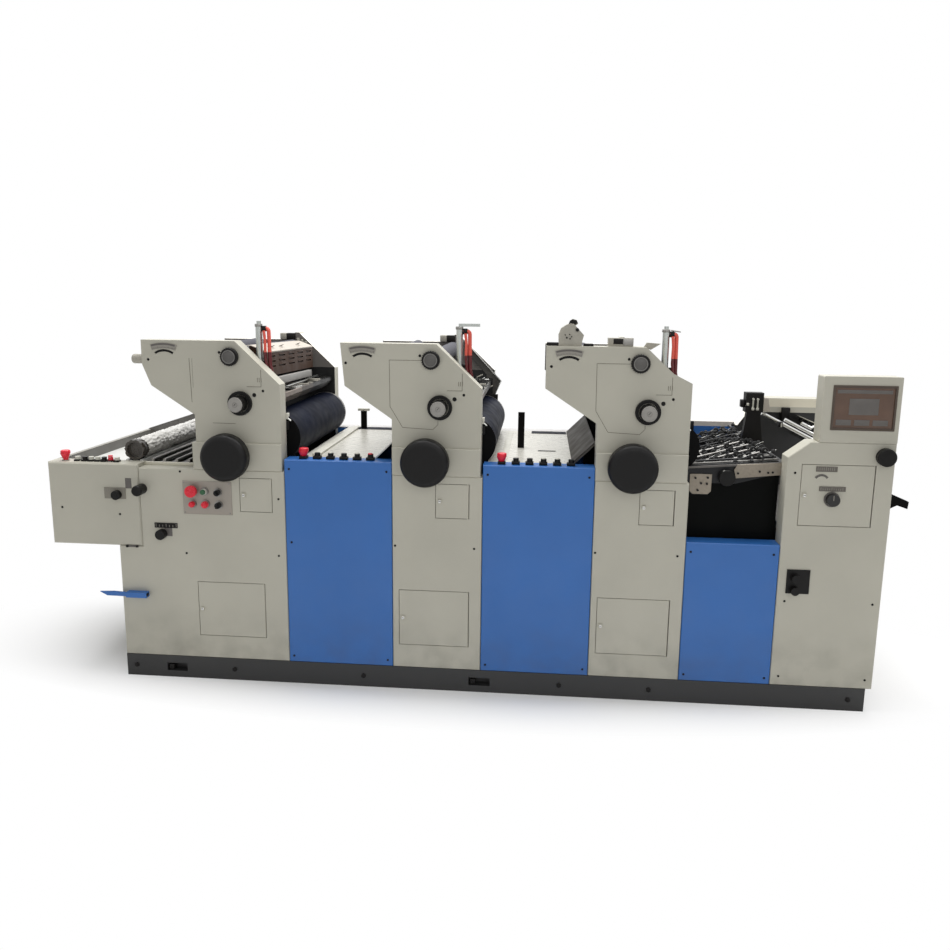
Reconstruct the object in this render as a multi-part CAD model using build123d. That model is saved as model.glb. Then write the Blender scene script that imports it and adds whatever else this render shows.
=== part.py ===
from build123d import *
import os
from math import radians, sin

# Three-colour offset printing press: delivery on the left, three printing towers, feeder on the right.
# Inside this file X runs along the press from the right edge of tower 1, Y runs from the front
# plane of the operator side to the drive side, and Z is up from the underside of the base.
# At the end every piece is moved so that the origin is the bottom centre of the whole press.

# Overall plan, millimetres
PITCH = 840.0             # from one tower to the next
TOWERS = (1, 2, 3)
DEPTH = 1000.0            # over the two side walls
SIDE_T = 80.0             # depth of one side wall, cover and frame together
STEP = 8.0                # how far the upper tower wall stands back from the lower panels
SEAM = 1.0                # half the gap between neighbouring panels
BEVEL = 3.0               # bevel round a panel's face

# Anchor pockets in the base
ANCHOR_X = (-560.0, 790.0)
ANCHOR_W = 92.0
ANCHOR_H = 36.0
ANCHOR_D = 40.0
ANCHOR_Z = 30.0

# Heights
BASE_H = 101.0
DECK_Z = 952.0                    # top of the lower side walls
BAND_TOP = DECK_Z + 117           # band that carries the handwheel
NECK_Z = BAND_TOP + 117
TOWER_TOP = NECK_Z + 311
CHAMFER_Z = TOWER_TOP - 178
FAR_TOP = TOWER_TOP - 36          # drive side, left of its raised corner
COVER_TOP = DECK_Z + 53           # blue covers and the tables between towers
LOW_COVER_TOP = 706.0             # blue cover in front of the feed board
FAR_COVER_TOP = COVER_TOP + 73    # its fellow on the drive side

# Widths, measured from a tower's right edge
COLUMN_W = 380.0
UPPER_IN = 10.0           # band and wing end this far inside the lower wall
WING_W = {1: 598.0, 2: 592.0, 3: 592.0}
TOP_RIGHT = 196.0         # where the level top ends and the chamfer starts
FAR_CORNER = 218.0        # where the drive side's raised corner starts
BODY_LEFT = 746.0         # lower wall of tower 1 runs on under the delivery

# Underside of each tower's wing, as (from the left edge, below the top), from the neck to the left edge
WING_HEEL = {1: ((35.0, 190.0), (0.0, 101.0)), 2: ((16.0, 176.0),), 3: ((0.0, 171.0),)}
# The same for a break in tower 3's chamfer, and for its lower end
CHAMFER_BREAK = (85.0, 103.0)
CHAMFER_END = 141.0

# Delivery
DELIVERY_LEFT = 1047.0
DELIVERY_RIGHT = 640.0
DELIVERY_BOTTOM = 603.0
DELIVERY_TOP = DECK_Z + 15
FAR_DELIVERY_MID = DELIVERY_TOP + 75
FAR_DELIVERY_TOP = DELIVERY_TOP + 138
FAR_DELIVERY_BEND = 181.0 # from the delivery's right end
END_WALL_T = 20.0
TRAY_Z = DECK_Z - 30      # deck inside the delivery
TRAY_T = 10.0
ROLL_X = -695.0
ROLL_R = 48.0
ROLL_Z = TRAY_Z + 90
ROLL_WALL = 14.0
ROLL_REST = 0.3           # roll to its rests
ROLL_NEAR_GAP = 4.0
ROLL_FAR_GAP = 70.0
REST_REACH = 26.0         # rests' inner edges from the roll's middle
REST_T = 12.0
BAR_COUNT = 5
BAR_W = 26.0
BAR_H = 22.0
BAR_PITCH = 49.0

# Feeder end, measured from tower 3's right edge
FEEDER_GAP = 376.0        # width of the low blue cover
CONSOLE_W = 414.0
CONSOLE_TOP = 1135.0
CONSOLE_CUT_X = 84.0
CONSOLE_CUT_Z = 64.0
# The drive side's corner, as (from the console's left edge, height)
FAR_CONSOLE_CUT = ((66.0, CONSOLE_TOP), (16.0, 1062.0), (1.0, 1062.0))
BASE_SHORT = 25.0         # base ends this far inside the console

# Derived places
NEAR_IN = SIDE_T
FAR_IN = DEPTH - SIDE_T
FEED_LEFT = (len(TOWERS) - 1) * PITCH
CONSOLE_LEFT = FEED_LEFT + FEEDER_GAP
CONSOLE_RIGHT = CONSOLE_LEFT + CONSOLE_W

# Handwheels and cylinders
WHEEL_X = -235.0
WHEEL_Z = DECK_Z + 65
WHEEL_R = 100.0
WHEEL_BACK = 30.0         # wheel's back face stands off the wall
WHEEL_T = 55.0
SHAFT_R = 20.0
SHAFT_FIT = 0.05
TRANSFER_R = 80.0
PLATE_X = -57.0
PLATE_Z = WHEEL_Z + 68
PLATE_R = 105.0
CYL_GAP = 10.0            # cylinder end to wall
JOURNAL_SEAT = 40.0       # depth of a blind bearing seat

# Ink rollers of a tower, as (from the right edge, below the top, radius)
INK_ROLLERS = ((500.0, 87.0, 42.0), (405.0, 65.0, 36.0), (318.0, 92.0, 44.0), (225.0, 72.0, 36.0),
               (455.0, 177.0, 38.0), (355.0, 179.0, 40.0), (240.0, 177.0, 36.0), (262.0, 282.0, 42.0))
ROLLER_GAP = 15.0         # roller end to wall
SPINDLE_R = 14.0

# Damping unit: outlines as (from the right edge, below the top)
GUARD_OUTLINE = ((184.0, 165.0), (106.0, 165.0), (108.0, 59.0), (172.0, 33.0), (184.0, 33.0))
GUARD_NEAR_GAP = 62.0
GUARD_FAR_GAP = 70.0
GUARD_TILT = 1.2          # degrees, near end up
GUARD_FEET = 6.0          # thickness of the guard's two end feet
LOUVRE_COLUMNS = 5
LOUVRE_ROWS = 3
LOUVRE_PITCH = 22.0
LOUVRE = (12.0, 90.0, 7.0)
TRAY_OUTLINE = ((140.0, 227.0), (26.0, 235.0), (24.0, 251.0), (48.0, 295.0), (128.0, 299.0))
TRAY_RISE = {1: 8.0, 2: 0.0, 3: 0.0}
TRAY_LESS = {1: 14.0, 2: 0.0, 3: 0.0}       # its face is this much lower
TROUGH_OUTLINE = ((132.0, 220.0), (36.0, 220.0), (40.0, 247.0), (130.0, 243.0))
TROUGH_END = 10.0

# Air cylinders inside the near wall
RAM_X = {1: -122.0, 2: -110.0, 3: -110.0}
RAM_Y = SIDE_T + 20
RAM_R = 14.0
RAM_L = 186.0
RAM_FOOT = 117.0          # foot plate below the tower's top
RAM_FOOT_T = 8.0
RAM_TOP = 81.0            # above the tower's top
HOSE_R = 8.0
# Hose corners as (from the ram's middle, above the tower's top): elbow, drop and lower end
HOSE_CORNERS = ((24.0, 51.0), (42.0, 51.0), (44.0, -105.0), (56.0, -167.0))
HOSE_BEND = 14.0
ELBOW_R = 10.0

# Hatches
HATCH_GAP = 2.5
LEAF_T = 10.0
POCKET_D = 45.0
PIN_R = 3.0
PIN_FIT = 0.05
PIN_SEAT = 10.0
LATCH = 16.0
LATCH_T = 6.0
LOWER_HATCH = (27.0 - COLUMN_W, -51.0, 204.0, 453.0)
LOWER_HATCH_SHIFT = -48.0     # on tower 1 only
UPPER_HATCH = (-197.0, -54.0, DECK_Z - 180, DECK_Z - 31)
CONSOLE_HATCH = (58.0, 345.0, 792.0, 1046.0)      # from the console's left edge

# Knobs
LOCK_X = -217.0
LOCK_Z = TOWER_TOP - 65
LOCK_R = 37.0
LOCK_T = 16.0
DIAL_X = -180.0
DIAL_Z = BAND_TOP + 170
DIAL_R = 33.0
DIAL_T = 60.0
RING_R = 51.0
RING_T = 14.0
RING_GAP = 5.0            # dial to its ring
KNOB_STEM_R = 8.0
KNOB_SEAT = 30.0
KNOB_AIR = 1.0            # knob face to wall

# Curved slot and its scale near the top left of each tower
SLOT_X = -500.0
SLOT_TOP = TOWER_TOP - 38
SLOT_R = 75.0
SLOT_W = 10.0
SLOT_REACH = 42.0         # half of its length
SCALE_TOP = TOWER_TOP - 11
SCALE_R = 190.0
SCALE_W = 24.0
SCALE_REACH = 57.0
SCALE_T = 3.0
# Plain holes of each tower wall, as (from the right edge, below the top, radius)
WALL_HOLES = ((570.0, 82.0, 6.0), (263.0, 48.0, 6.0), (120.0, 223.0, 9.0), (82.0, 205.0, 6.0))

# Small turning knobs on the front plane: x, z, radius, how far they stand out
SLIDE_KNOB = (-738.0, 832.0, 20.0, 22.0)
SLIDE_PLATE_T = 3.0
STOP_KNOB = (-627.0, 861.0, 23.0, 56.0)
TOWER_KNOB = (-547.0, 664.0, 22.0, 30.0)
CONSOLE_KNOB = (373.0, 1083.0, 36.0, 28.0)        # from the console's left edge
SIDE_KNOB = (160.0, 967.0, 33.0, 26.0)            # from tower 3's right edge, on the feed board's rail
SMALL_STEM_R = 5.0
LABEL_T = 3.0
TOWER_LABEL = (-580.0, -478.0, 690.0, 712.0)
DOOR_LABELS = ((114.0, 196.0, 1017.0, 1038.0), (132.0, 234.0, 938.0, 957.0))
DOOR_DIAL = (185.0, 905.0, 25.0, 24.0)
CONSOLE_PLATE = (34.0, 126.0, 505.0, 607.0)       # from the console's left edge
CONSOLE_SWITCHES = ((66.0, 572.0), (66.0, 520.0))
SWITCH_R = 17.0
SWITCH_L = 26.0

# Control panel of tower 1 and what stands on it: x, z and radius
PANEL = (-446.0, -231.0, 756.0, 902.0)
PANEL_T = 4.0
STOP_BUTTON = (-400.0, 861.0, 25.0)
STOP_STEM_R = 12.0
STOP_L = 34.0
RED_BUTTONS = ((-403.0, 802.0, 13.0), (-346.0, 802.0, 15.0))
GREEN_BUTTON = (-349.0, 858.0, 13.0)
SELECTORS = ((-289.0, 856.0, 13.0), (-287.0, 801.0, 13.0))
BUTTON_L = 20.0
SELECTOR_L = 26.0

# Buttons on top of the near covers
TOP_BUTTON_Y = 40.0
TOP_BUTTON_R = 12.0
TOP_BUTTON_H = 26.0
TOP_BUTTON_START = 135.0  # from a tower's right edge
TOP_BUTTON_PITCH = 57.0
TOP_BUTTON_COUNT = 5
TOP_STOP_X = 76.0
TOP_STOP_R = 20.0
TOP_STOP_STEM = 32.0
TOP_STOP_H = 14.0
END_STOP_X = -985.0
END_BUTTON_R = 11.0
END_BUTTON_H = 20.0
END_RED_X = -781.0
END_BLACK_X = (-897.0, -810.0)
END_PALE_X = (-930.0, -868.0, -839.0, -752.0)

# Tables between the towers, from the tower on their left, and the slope up to the next tower
TABLE_T = 4.0
# Its turned-down left edge and the bend above it
TABLE_EDGE = {1: 12.0, 2: 10.0}
TABLE_BEND = {1: 62.0, 2: 16.0}
TABLE_DROP = 30.0
SLOPE_W = 90.0
SLOPE_H = 90.0
POST_W = 30.0
POST_T = 12.0
# Upright strip on each table, as (x, from the far wall's inside, height)
POSTS = {1: (138.0, 50.0, 102.0), 2: (130.0, 495.0, 165.0)}

# Feed board
FEED_Z = 955.0            # its top at tower 3's right edge
FEED_RISE = 0.2
FEED_T = 8.0
FEED_OVERLAP = 20.0
RAIL_T = 8.0
RAIL_LOW = 940.0
NEAR_RAIL_TOP = (1005.0, 1036.0)
FAR_RAIL_RISE = 6.0
# Lobe under the rails' left end, as (from tower 3's right edge, height)
RAIL_LOBE = ((200.0, RAIL_LOW), (100.0, RAIL_LOW), (98.0, 900.0), (86.0, 890.0), (26.0, 890.0), (14.0, 900.0))
FEED_BAR_COUNT = 4
FEED_BAR_START = 50.0
FEED_BAR_PITCH = 75.0
FEED_BAR_R = 6.0
FEED_BAR_RISE = 12.0
FEED_WHEEL_R = 11.5
FEED_WHEEL_FIT = 0.3
FEED_WHEEL_T = 14.0
FEED_WHEELS = 5           # on each bar
FEED_WHEEL_MARGIN = 90.0
FEED_WHEEL_SHIFT = 60.0   # every second bar's wheels
FEED_GUARD_GAP = 2.0
FEED_GUARD_T = 4.0

# Feeder
PILE_Z = 760.0
PILE_T = 30.0
PILE_GAP = (30.0, 60.0)   # board to the console's left and right edges
HEAD_LEFT = -66.0         # from the console's left edge
HEAD_W = 78.0
HEAD_NEAR = 370.0         # from the near wall's inside
HEAD_D = 50.0
HEAD_Z = 1190.0
HEAD_H = 88.0
HEAD_POST_INSET = 10.0
HEAD_POST_FLARE = 10.0
# Guide bars, as (y, left end from the console's left edge, its height), and the strip that carries them
GUIDES = ((475.0, 14.0, 1184.0), (560.0, 142.0, 1145.0), (640.0, 243.0, 1119.0))
GUIDE_R = 8.0
GUIDE_FALL = 0.5
GUIDE_STRIP = (290.0, 300.0, 1020.0, 1125.0)
FAR_RISER = (135.0, 70.0, 20.0)   # raised cover of the far console: left edge, height, reach inwards

# Touch screen, from the console's left edge
SCREEN_LEFT = 117.0
SCREEN_TOP = CONSOLE_TOP + 262
SCREEN_ROUND = 5.0
SCREEN_MARGIN = (41.0, 22.0, 55.0, 39.0)          # left, right, below, above
SCREEN_DEPTH = 6.0
SCREEN_T = 4.0

# Drive housing and hook on top of tower 3, as (from its right edge, above its top)
DRIVE_OUTLINE = ((-543.0, 0.0), (-545.0, 45.0), (-535.0, 70.0), (-515.0, 84.0), (-497.0, 90.0), (-485.0, 88.0),
                 (-444.0, 44.0), (-450.0, 22.0), (-452.0, 0.0))
DRIVE_Y = (20.0, 68.0)
SMALL_BOX = (-346.0, -247.0, 30.0, 74.0, 34.0)     # left, right, near, far and height
HOOK = ((-506.0, 80.0), (-500.0, 101.0), (-490.0, 107.0), (-474.0, 103.0), (-468.0, 88.0), (-480.0, 80.0))
HOOK_Y = (34.0, 52.0)
WING_KNOB = (40.0, 82.0, 20.0, 54.0)      # on tower 1's left edge: y, below the top, radius, length

# Brackets
END_BRACKET = ((0.0, 930.0), (90.0, 892.0), (87.0, 862.0), (45.0, 876.0), (0.0, 852.0))
END_BRACKET_Y = (50.0, 74.0)
END_BRACKET_L = 90.0
# Guard plate at the damping unit of tower 2, as (from its right edge, below the top)
UNIT_GUARD = ((-190.0, 57.0), (-165.0, 27.0), (28.0, 233.0), (-3.0, 304.0), (-18.0, 304.0), (-18.0, 220.0),
              (-50.0, 220.0), (-50.0, 200.0))
UNIT_GUARD_T = 6.0
CHANNEL = (-716.0, -624.0, 376.0, 399.0)
CHANNEL_D = 30.0
CHANNEL_WALL = 3.0
BLADE = ((0.0, 2.0), (0.0, 20.0), (-60.0, 23.0), (-122.0, 20.0), (-89.0, 3.0))
BLADE_Y = (-22.0, -14.0)
END_PANEL_T = 10.0
END_PANEL_TOP = 700.0


def block(x0, x1, y0, y1, z0, z1):
    """Box between two corners."""
    return Pos((x0 + x1) / 2, (y0 + y1) / 2, (z0 + z1) / 2) * Box(x1 - x0, y1 - y0, z1 - z0)


def rod_y(x, z, y0, y1, radius):
    """Round bar along Y."""
    return Pos(x, (y0 + y1) / 2, z) * Rot(90, 0, 0) * Cylinder(radius, y1 - y0)


def rod_x(y, z, x0, x1, radius):
    """Round bar along X."""
    return Pos((x0 + x1) / 2, y, z) * Rot(0, 90, 0) * Cylinder(radius, x1 - x0)


def rod_z(x, y, z0, z1, radius):
    """Upright round bar."""
    return Pos(x, y, (z0 + z1) / 2) * Cylinder(radius, z1 - z0)


def slab(points, y0, y1):
    """Flat plate with an outline in X and Z, thick along Y."""
    outline = make_face(Polyline([(x, y0, z) for x, z in points], close=True))
    return extrude(outline, amount=y1 - y0, dir=(0, 1, 0))


def bevel_front(solid, size=BEVEL):
    """Bevel all round the face that looks at the operator."""
    front = solid.faces().sort_by(Axis.Y)[0]
    return chamfer(front.edges(), size)


def bevel_back(solid, size=BEVEL):
    """Bevel all round the face on the drive side."""
    back = solid.faces().sort_by(Axis.Y)[-1]
    return chamfer(back.edges(), size)


def tower_right(n):
    return (n - 1) * PITCH


def hatch_box(n, kind):
    """Opening of a tower's hatch: x0, x1, z0, z1."""
    x0, x1, z0, z1 = LOWER_HATCH if kind == "lower" else UPPER_HATCH
    shift = LOWER_HATCH_SHIFT if kind == "lower" and n == 1 else 0.0
    return tower_right(n) + x0 + shift, tower_right(n) + x1 + shift, z0, z1


def hinge_x(opening):
    """Hinge line of a hatch, near the right edge of its opening."""
    return opening[1] - HATCH_GAP - LEAF_T / 2


def cut_hatch(wall, opening):
    """Sink a hatch's pocket and its two pin seats into a wall."""
    x0, x1, z0, z1 = opening
    wall = wall - block(x0, x1, -1.0, POCKET_D, z0, z1)
    seat = rod_z(hinge_x(opening), LEAF_T / 2, z0 - PIN_SEAT - 1, z1 + PIN_SEAT + 1, PIN_R + PIN_FIT)
    return wall - seat


def hatch(opening):
    """Hatch leaf with a rounded hinge edge, two pins and a latch."""
    x0, x1, z0, z1 = opening
    axis = hinge_x(opening)
    low, high = z0 + HATCH_GAP, z1 - HATCH_GAP
    leaf = block(x0 + HATCH_GAP, axis, 0, LEAF_T, low, high)
    leaf += rod_z(axis, LEAF_T / 2, low, high, LEAF_T / 2)
    leaf += rod_z(axis, LEAF_T / 2, z0 - PIN_SEAT, z1 + PIN_SEAT, PIN_R)
    latch_x = x0 + HATCH_GAP + LATCH
    middle = (z0 + z1) / 2
    return leaf + block(latch_x - LATCH / 2, latch_x + LATCH / 2, -LATCH_T, 1,
                        middle - LATCH / 2, middle + LATCH / 2)


def lower_outline(n):
    """Lower wall of a tower; tower 1 runs on to the left, notched for the delivery box."""
    right = tower_right(n)
    if n > 1:
        left = right - COLUMN_W
        return [(left + SEAM, BASE_H), (right - SEAM, BASE_H), (right - SEAM, DECK_Z), (left + SEAM, DECK_Z)]
    return [(-BODY_LEFT, BASE_H), (-SEAM, BASE_H), (-SEAM, DECK_Z), (-DELIVERY_RIGHT + SEAM, DECK_Z),
            (-DELIVERY_RIGHT + SEAM, DELIVERY_BOTTOM - SEAM), (-BODY_LEFT, DELIVERY_BOTTOM - SEAM)]


def below_top(n, places):
    """Turns places given as (from the right edge, below the top) into X and Z."""
    return [(tower_right(n) - x, TOWER_TOP - z) for x, z in places]


def chamfer_outline(n):
    """Chamfer and right edge of a tower, down to the band; tower 3's has a break."""
    right = tower_right(n) - UPPER_IN
    if n == 3:
        return below_top(n, [CHAMFER_BREAK]) + [(right, TOWER_TOP - CHAMFER_END), (right, BAND_TOP)]
    return [(right, CHAMFER_Z), (right, BAND_TOP)]


def neck_outline(n):
    """Left edge of a tower's column and the underside of its wing."""
    right = tower_right(n)
    heel = [(right - WING_W[n] + x, TOWER_TOP - z) for x, z in WING_HEEL[n]]
    return [(right - COLUMN_W, BAND_TOP), (right - COLUMN_W, NECK_Z)] + heel


def wing_outline(n):
    """Near upper wall of a tower, from the band to the top."""
    right = tower_right(n)
    return neck_outline(n) + [(right - WING_W[n], TOWER_TOP), (right - TOP_RIGHT, TOWER_TOP)] + chamfer_outline(n)


def far_wing_outline(n):
    """Upper wall on the drive side, which is lower but for its corner at the chamfer."""
    right = tower_right(n)
    return neck_outline(n) + [(right - WING_W[n], FAR_TOP), (right - FAR_CORNER, FAR_TOP),
                              (right - FAR_CORNER, TOWER_TOP), (right - TOP_RIGHT, TOWER_TOP)] + chamfer_outline(n)


def arch(x, top, radius, width, reach, y0, y1):
    """Curved strip that arches upwards: its crown at x and top, its ends at x - reach and x + reach."""
    middle = top - radius
    ring = rod_y(x, middle, y0, y1, radius) - rod_y(x, middle, y0 - 1, y1 + 1, radius - width)
    side = reach * 2 * radius / (radius ** 2 - reach ** 2) ** 0.5
    return ring & slab([(x, middle), (x + side, middle + 2 * radius), (x - side, middle + 2 * radius)], y0, y1)


def near_side(n):
    """Operator-side wall of a tower with its hatch pockets, bearing seats and knob seats."""
    right = tower_right(n)
    band_left = right - COLUMN_W - (2 * STEP if n == 1 else 0)
    wall = bevel_front(slab(lower_outline(n), 0, SIDE_T))
    wall += bevel_front(block(band_left, right - UPPER_IN, 0, SIDE_T, DECK_Z, BAND_TOP))
    wall += slab(wing_outline(n), STEP, SIDE_T)
    for kind in ("lower", "upper"):
        wall = cut_hatch(wall, hatch_box(n, kind))
    wall -= rod_y(right + WHEEL_X, WHEEL_Z, -1, SIDE_T + 1, SHAFT_R + SHAFT_FIT)
    wall -= rod_y(right + PLATE_X, PLATE_Z, SIDE_T - JOURNAL_SEAT, SIDE_T + 1, SHAFT_R + SHAFT_FIT)
    for x, z in ((LOCK_X, LOCK_Z), (DIAL_X, DIAL_Z)):
        wall -= knob_seat(right + x, z, STEP, KNOB_STEM_R)
    if n == 1:
        for x, z, radius, length in (STOP_KNOB, TOWER_KNOB):
            wall -= knob_seat(x, z, 0, SMALL_STEM_R)
    wall -= arch(right + SLOT_X, SLOT_TOP, SLOT_R, SLOT_W, SLOT_REACH, STEP - 1, 2 * STEP)
    for x, z, radius in WALL_HOLES:
        wall -= rod_y(right - x, TOWER_TOP - z, 0, 2 * STEP, radius)
    return wall


def far_side(n):
    """Drive-side wall of a tower."""
    right = tower_right(n)
    wall = bevel_back(slab(lower_outline(n), FAR_IN, DEPTH))
    wall += bevel_back(block(right - COLUMN_W, right - UPPER_IN, FAR_IN, DEPTH, DECK_Z, BAND_TOP))
    wall += slab(far_wing_outline(n), FAR_IN, DEPTH - STEP)
    for x, z in ((WHEEL_X, WHEEL_Z), (PLATE_X, PLATE_Z)):
        wall -= rod_y(right + x, z, FAR_IN - 1, FAR_IN + JOURNAL_SEAT, SHAFT_R + SHAFT_FIT)
    return wall


def handwheel(n):
    """Domed handwheel on the shaft of the transfer cylinder."""
    x = tower_right(n) + WHEEL_X
    back = -WHEEL_BACK
    rim = rod_y(x, WHEEL_Z, back - WHEEL_T, back, WHEEL_R)
    rim = fillet(rim.faces().sort_by(Axis.Y)[0].edges(), WHEEL_T * 0.45)
    rim += rod_y(x, WHEEL_Z, back - 1, NEAR_IN + CYL_GAP + 1, SHAFT_R)
    rim += rod_y(x, WHEEL_Z, NEAR_IN + CYL_GAP, FAR_IN - CYL_GAP, TRANSFER_R)
    return rim + rod_y(x, WHEEL_Z, FAR_IN - CYL_GAP - 1, FAR_IN + JOURNAL_SEAT - 1, SHAFT_R)


def plate_cylinder(n):
    """Blue-blanketed cylinder that shows at the right of each tower."""
    x = tower_right(n) + PLATE_X
    body = rod_y(x, PLATE_Z, NEAR_IN + CYL_GAP, FAR_IN - CYL_GAP, PLATE_R)
    return body + rod_y(x, PLATE_Z, NEAR_IN - JOURNAL_SEAT + 1, FAR_IN + JOURNAL_SEAT - 1, SHAFT_R)


def knob(x, z, radius, length, wall_y, edge, stem_r, seat=KNOB_SEAT):
    """Round knob that stands out of a wall on a stem in a blind seat."""
    face = wall_y - KNOB_AIR
    head = rod_y(x, z, face - length, face, radius)
    head = fillet(head.faces().sort_by(Axis.Y)[0].edges(), edge)
    return head + rod_y(x, z, face - 1, wall_y + seat - 1, stem_r)


def knob_seat(x, z, wall_y, stem_r, seat=KNOB_SEAT):
    """Blind hole for a knob's stem."""
    return rod_y(x, z, wall_y - STEP, wall_y + seat, stem_r + SHAFT_FIT)


def lock_knob(n):
    """Flat round knob near the top of the tower."""
    return knob(tower_right(n) + LOCK_X, LOCK_Z, LOCK_R, LOCK_T, STEP, 4, KNOB_STEM_R)


def dial_knob(n):
    """Grey dial that stands out of its black ring."""
    return knob(tower_right(n) + DIAL_X, DIAL_Z, DIAL_R, DIAL_T, STEP, 3, KNOB_STEM_R)


def slide_knob():
    """Knob that clamps the slide of the delivery housing."""
    x, z, radius, length = SLIDE_KNOB
    return knob(x, z, radius, length, -SLIDE_PLATE_T, 3, SMALL_STEM_R)


def stop_knob():
    """Long knob beside the delivery housing."""
    x, z, radius, length = STOP_KNOB
    return knob(x, z, radius, length, 0, 8, SMALL_STEM_R)


def tower_knob():
    """Knob under the scale plate of tower 1."""
    x, z, radius, length = TOWER_KNOB
    return knob(x, z, radius, length, 0, 3, SMALL_STEM_R)


def console_knob():
    """Large black knob near the top of the feeder console."""
    x, z, radius, length = CONSOLE_KNOB
    return knob(CONSOLE_LEFT + x, z, radius, length, 0, 4, KNOB_STEM_R)


def dial_rings():
    """Fixed black rings round the dials."""
    rings = []
    for n in TOWERS:
        x = tower_right(n) + DIAL_X
        ring = rod_y(x, DIAL_Z, STEP - RING_T, STEP, RING_R)
        rings.append(ring - rod_y(x, DIAL_Z, -RING_T, 2 * STEP, DIAL_R + RING_GAP))
    return rings


def covers(y0, y1, low_top, bevel):
    """Blue covers between the towers on one side."""
    panels = []
    for n in TOWERS:
        left = tower_right(n) + SEAM
        last = n == TOWERS[-1]
        right = (CONSOLE_LEFT if last else tower_right(n + 1) - COLUMN_W) - SEAM
        top = low_top if last else COVER_TOP
        panels.append(bevel(block(left, right, y0, y1, BASE_H, top)))
    return panels


def base_plinth():
    """Black base with anchor pockets in its front."""
    right = CONSOLE_RIGHT - BASE_SHORT
    base = block(-BODY_LEFT, right, 0, DEPTH, 0, BASE_H)
    for x in ANCHOR_X:
        base -= block(x, x + ANCHOR_W, -1, ANCHOR_D, ANCHOR_Z, ANCHOR_Z + ANCHOR_H)
    return base


def delivery_boxes():
    """Overhanging housings of the delivery, one each side, and the end wall between them."""
    left, right = -DELIVERY_LEFT, -DELIVERY_RIGHT - SEAM
    near = bevel_front(block(left, right, 0, SIDE_T, DELIVERY_BOTTOM, DELIVERY_TOP), 6)
    near -= knob_seat(SLIDE_KNOB[0], SLIDE_KNOB[1], -SLIDE_PLATE_T, SMALL_STEM_R)
    far = slab([(left, DELIVERY_BOTTOM), (right, DELIVERY_BOTTOM), (right, FAR_DELIVERY_TOP),
                (right - FAR_DELIVERY_BEND, FAR_DELIVERY_MID), (left, DELIVERY_TOP)], FAR_IN, DEPTH)
    end = block(left, left + END_WALL_T, NEAR_IN, FAR_IN, DELIVERY_BOTTOM, DELIVERY_TOP)
    return [near, bevel_back(far, 6), end]


def delivery_deck():
    """Pale deck under the roll, and the bars between it and tower 1."""
    deck = block(-DELIVERY_LEFT + END_WALL_T, -DELIVERY_RIGHT, NEAR_IN, FAR_IN, TRAY_Z - TRAY_T, TRAY_Z)
    bars = []
    for k in range(BAR_COUNT):
        left = -DELIVERY_RIGHT + 2 * BEVEL + BAR_PITCH * k
        bars.append(block(left, left + BAR_W, NEAR_IN, FAR_IN, DECK_Z - BAR_H / 2, DECK_Z + BAR_H / 2))
    top = ROLL_Z - (ROLL_R ** 2 - REST_REACH ** 2) ** 0.5 - ROLL_REST
    for a, b in ((-REST_REACH - REST_T, -REST_REACH), (REST_REACH, REST_REACH + REST_T)):
        deck += block(ROLL_X + a, ROLL_X + b, NEAR_IN, FAR_IN, TRAY_Z, top)
    return [deck] + bars


def wrapped_roll():
    """Roll of film that lies on the rests of the deck, hollow at its ends."""
    near, far = NEAR_IN + ROLL_NEAR_GAP, FAR_IN - ROLL_FAR_GAP
    roll = rod_y(ROLL_X, ROLL_Z, near, far, ROLL_R)
    return roll - rod_y(ROLL_X, ROLL_Z, near - 1, far + 1, ROLL_R - ROLL_WALL)


def end_panels():
    """Plain panels that close both ends between the side walls."""
    left = block(-BODY_LEFT, -BODY_LEFT + END_PANEL_T, NEAR_IN, FAR_IN, BASE_H, TRAY_Z - TRAY_T)
    right_x = CONSOLE_RIGHT - BASE_SHORT
    right = block(right_x - END_PANEL_T, right_x, NEAR_IN, FAR_IN, BASE_H, END_PANEL_TOP)
    return [left, right]


def control_panel():
    """Plate that carries the controls of tower 1."""
    x0, x1, z0, z1 = PANEL
    return bevel_front(block(x0, x1, -PANEL_T, 0, z0, z1), PANEL_T / 2)


def panel_button(place, length):
    """Round button that stands out of the control panel."""
    x, z, radius = place
    return rod_y(x, z, -length, -PANEL_T, radius)


def top_stop(x, z):
    """Emergency stop with a mushroom head on top of a cover."""
    stem = rod_z(x, TOP_BUTTON_Y, z, z + TOP_STOP_STEM, END_BUTTON_R)
    head = rod_z(x, TOP_BUTTON_Y, z + TOP_STOP_STEM, z + TOP_STOP_STEM + TOP_STOP_H, TOP_STOP_R)
    return stem + fillet(head.faces().sort_by(Axis.Z)[-1].edges(), TOP_STOP_H * 0.4)


def red_buttons():
    """Emergency stops on the covers and the red buttons of the control panel."""
    stops = [top_stop(END_STOP_X, DELIVERY_TOP)] + [top_stop(tower_right(n) + TOP_STOP_X, COVER_TOP) for n in (1, 2)]
    x, z, radius = STOP_BUTTON
    back = -STOP_L + TOP_STOP_H + 2
    stops.append(rod_y(x, z, back, -PANEL_T, STOP_STEM_R) + rod_y(x, z, -STOP_L, back, radius))
    stops += [panel_button(place, BUTTON_L) for place in RED_BUTTONS]
    return stops + [end_button(END_RED_X)]


def end_button(x):
    """Button on top of the delivery's near housing."""
    return rod_z(x, TOP_BUTTON_Y, DELIVERY_TOP, DELIVERY_TOP + END_BUTTON_H, END_BUTTON_R)


def top_buttons(n):
    """Row of push buttons beside an emergency stop."""
    places = [tower_right(n) + TOP_BUTTON_START + TOP_BUTTON_PITCH * k for k in range(TOP_BUTTON_COUNT)]
    return [rod_z(x, TOP_BUTTON_Y, COVER_TOP, COVER_TOP + TOP_BUTTON_H, TOP_BUTTON_R) for x in places]


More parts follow.
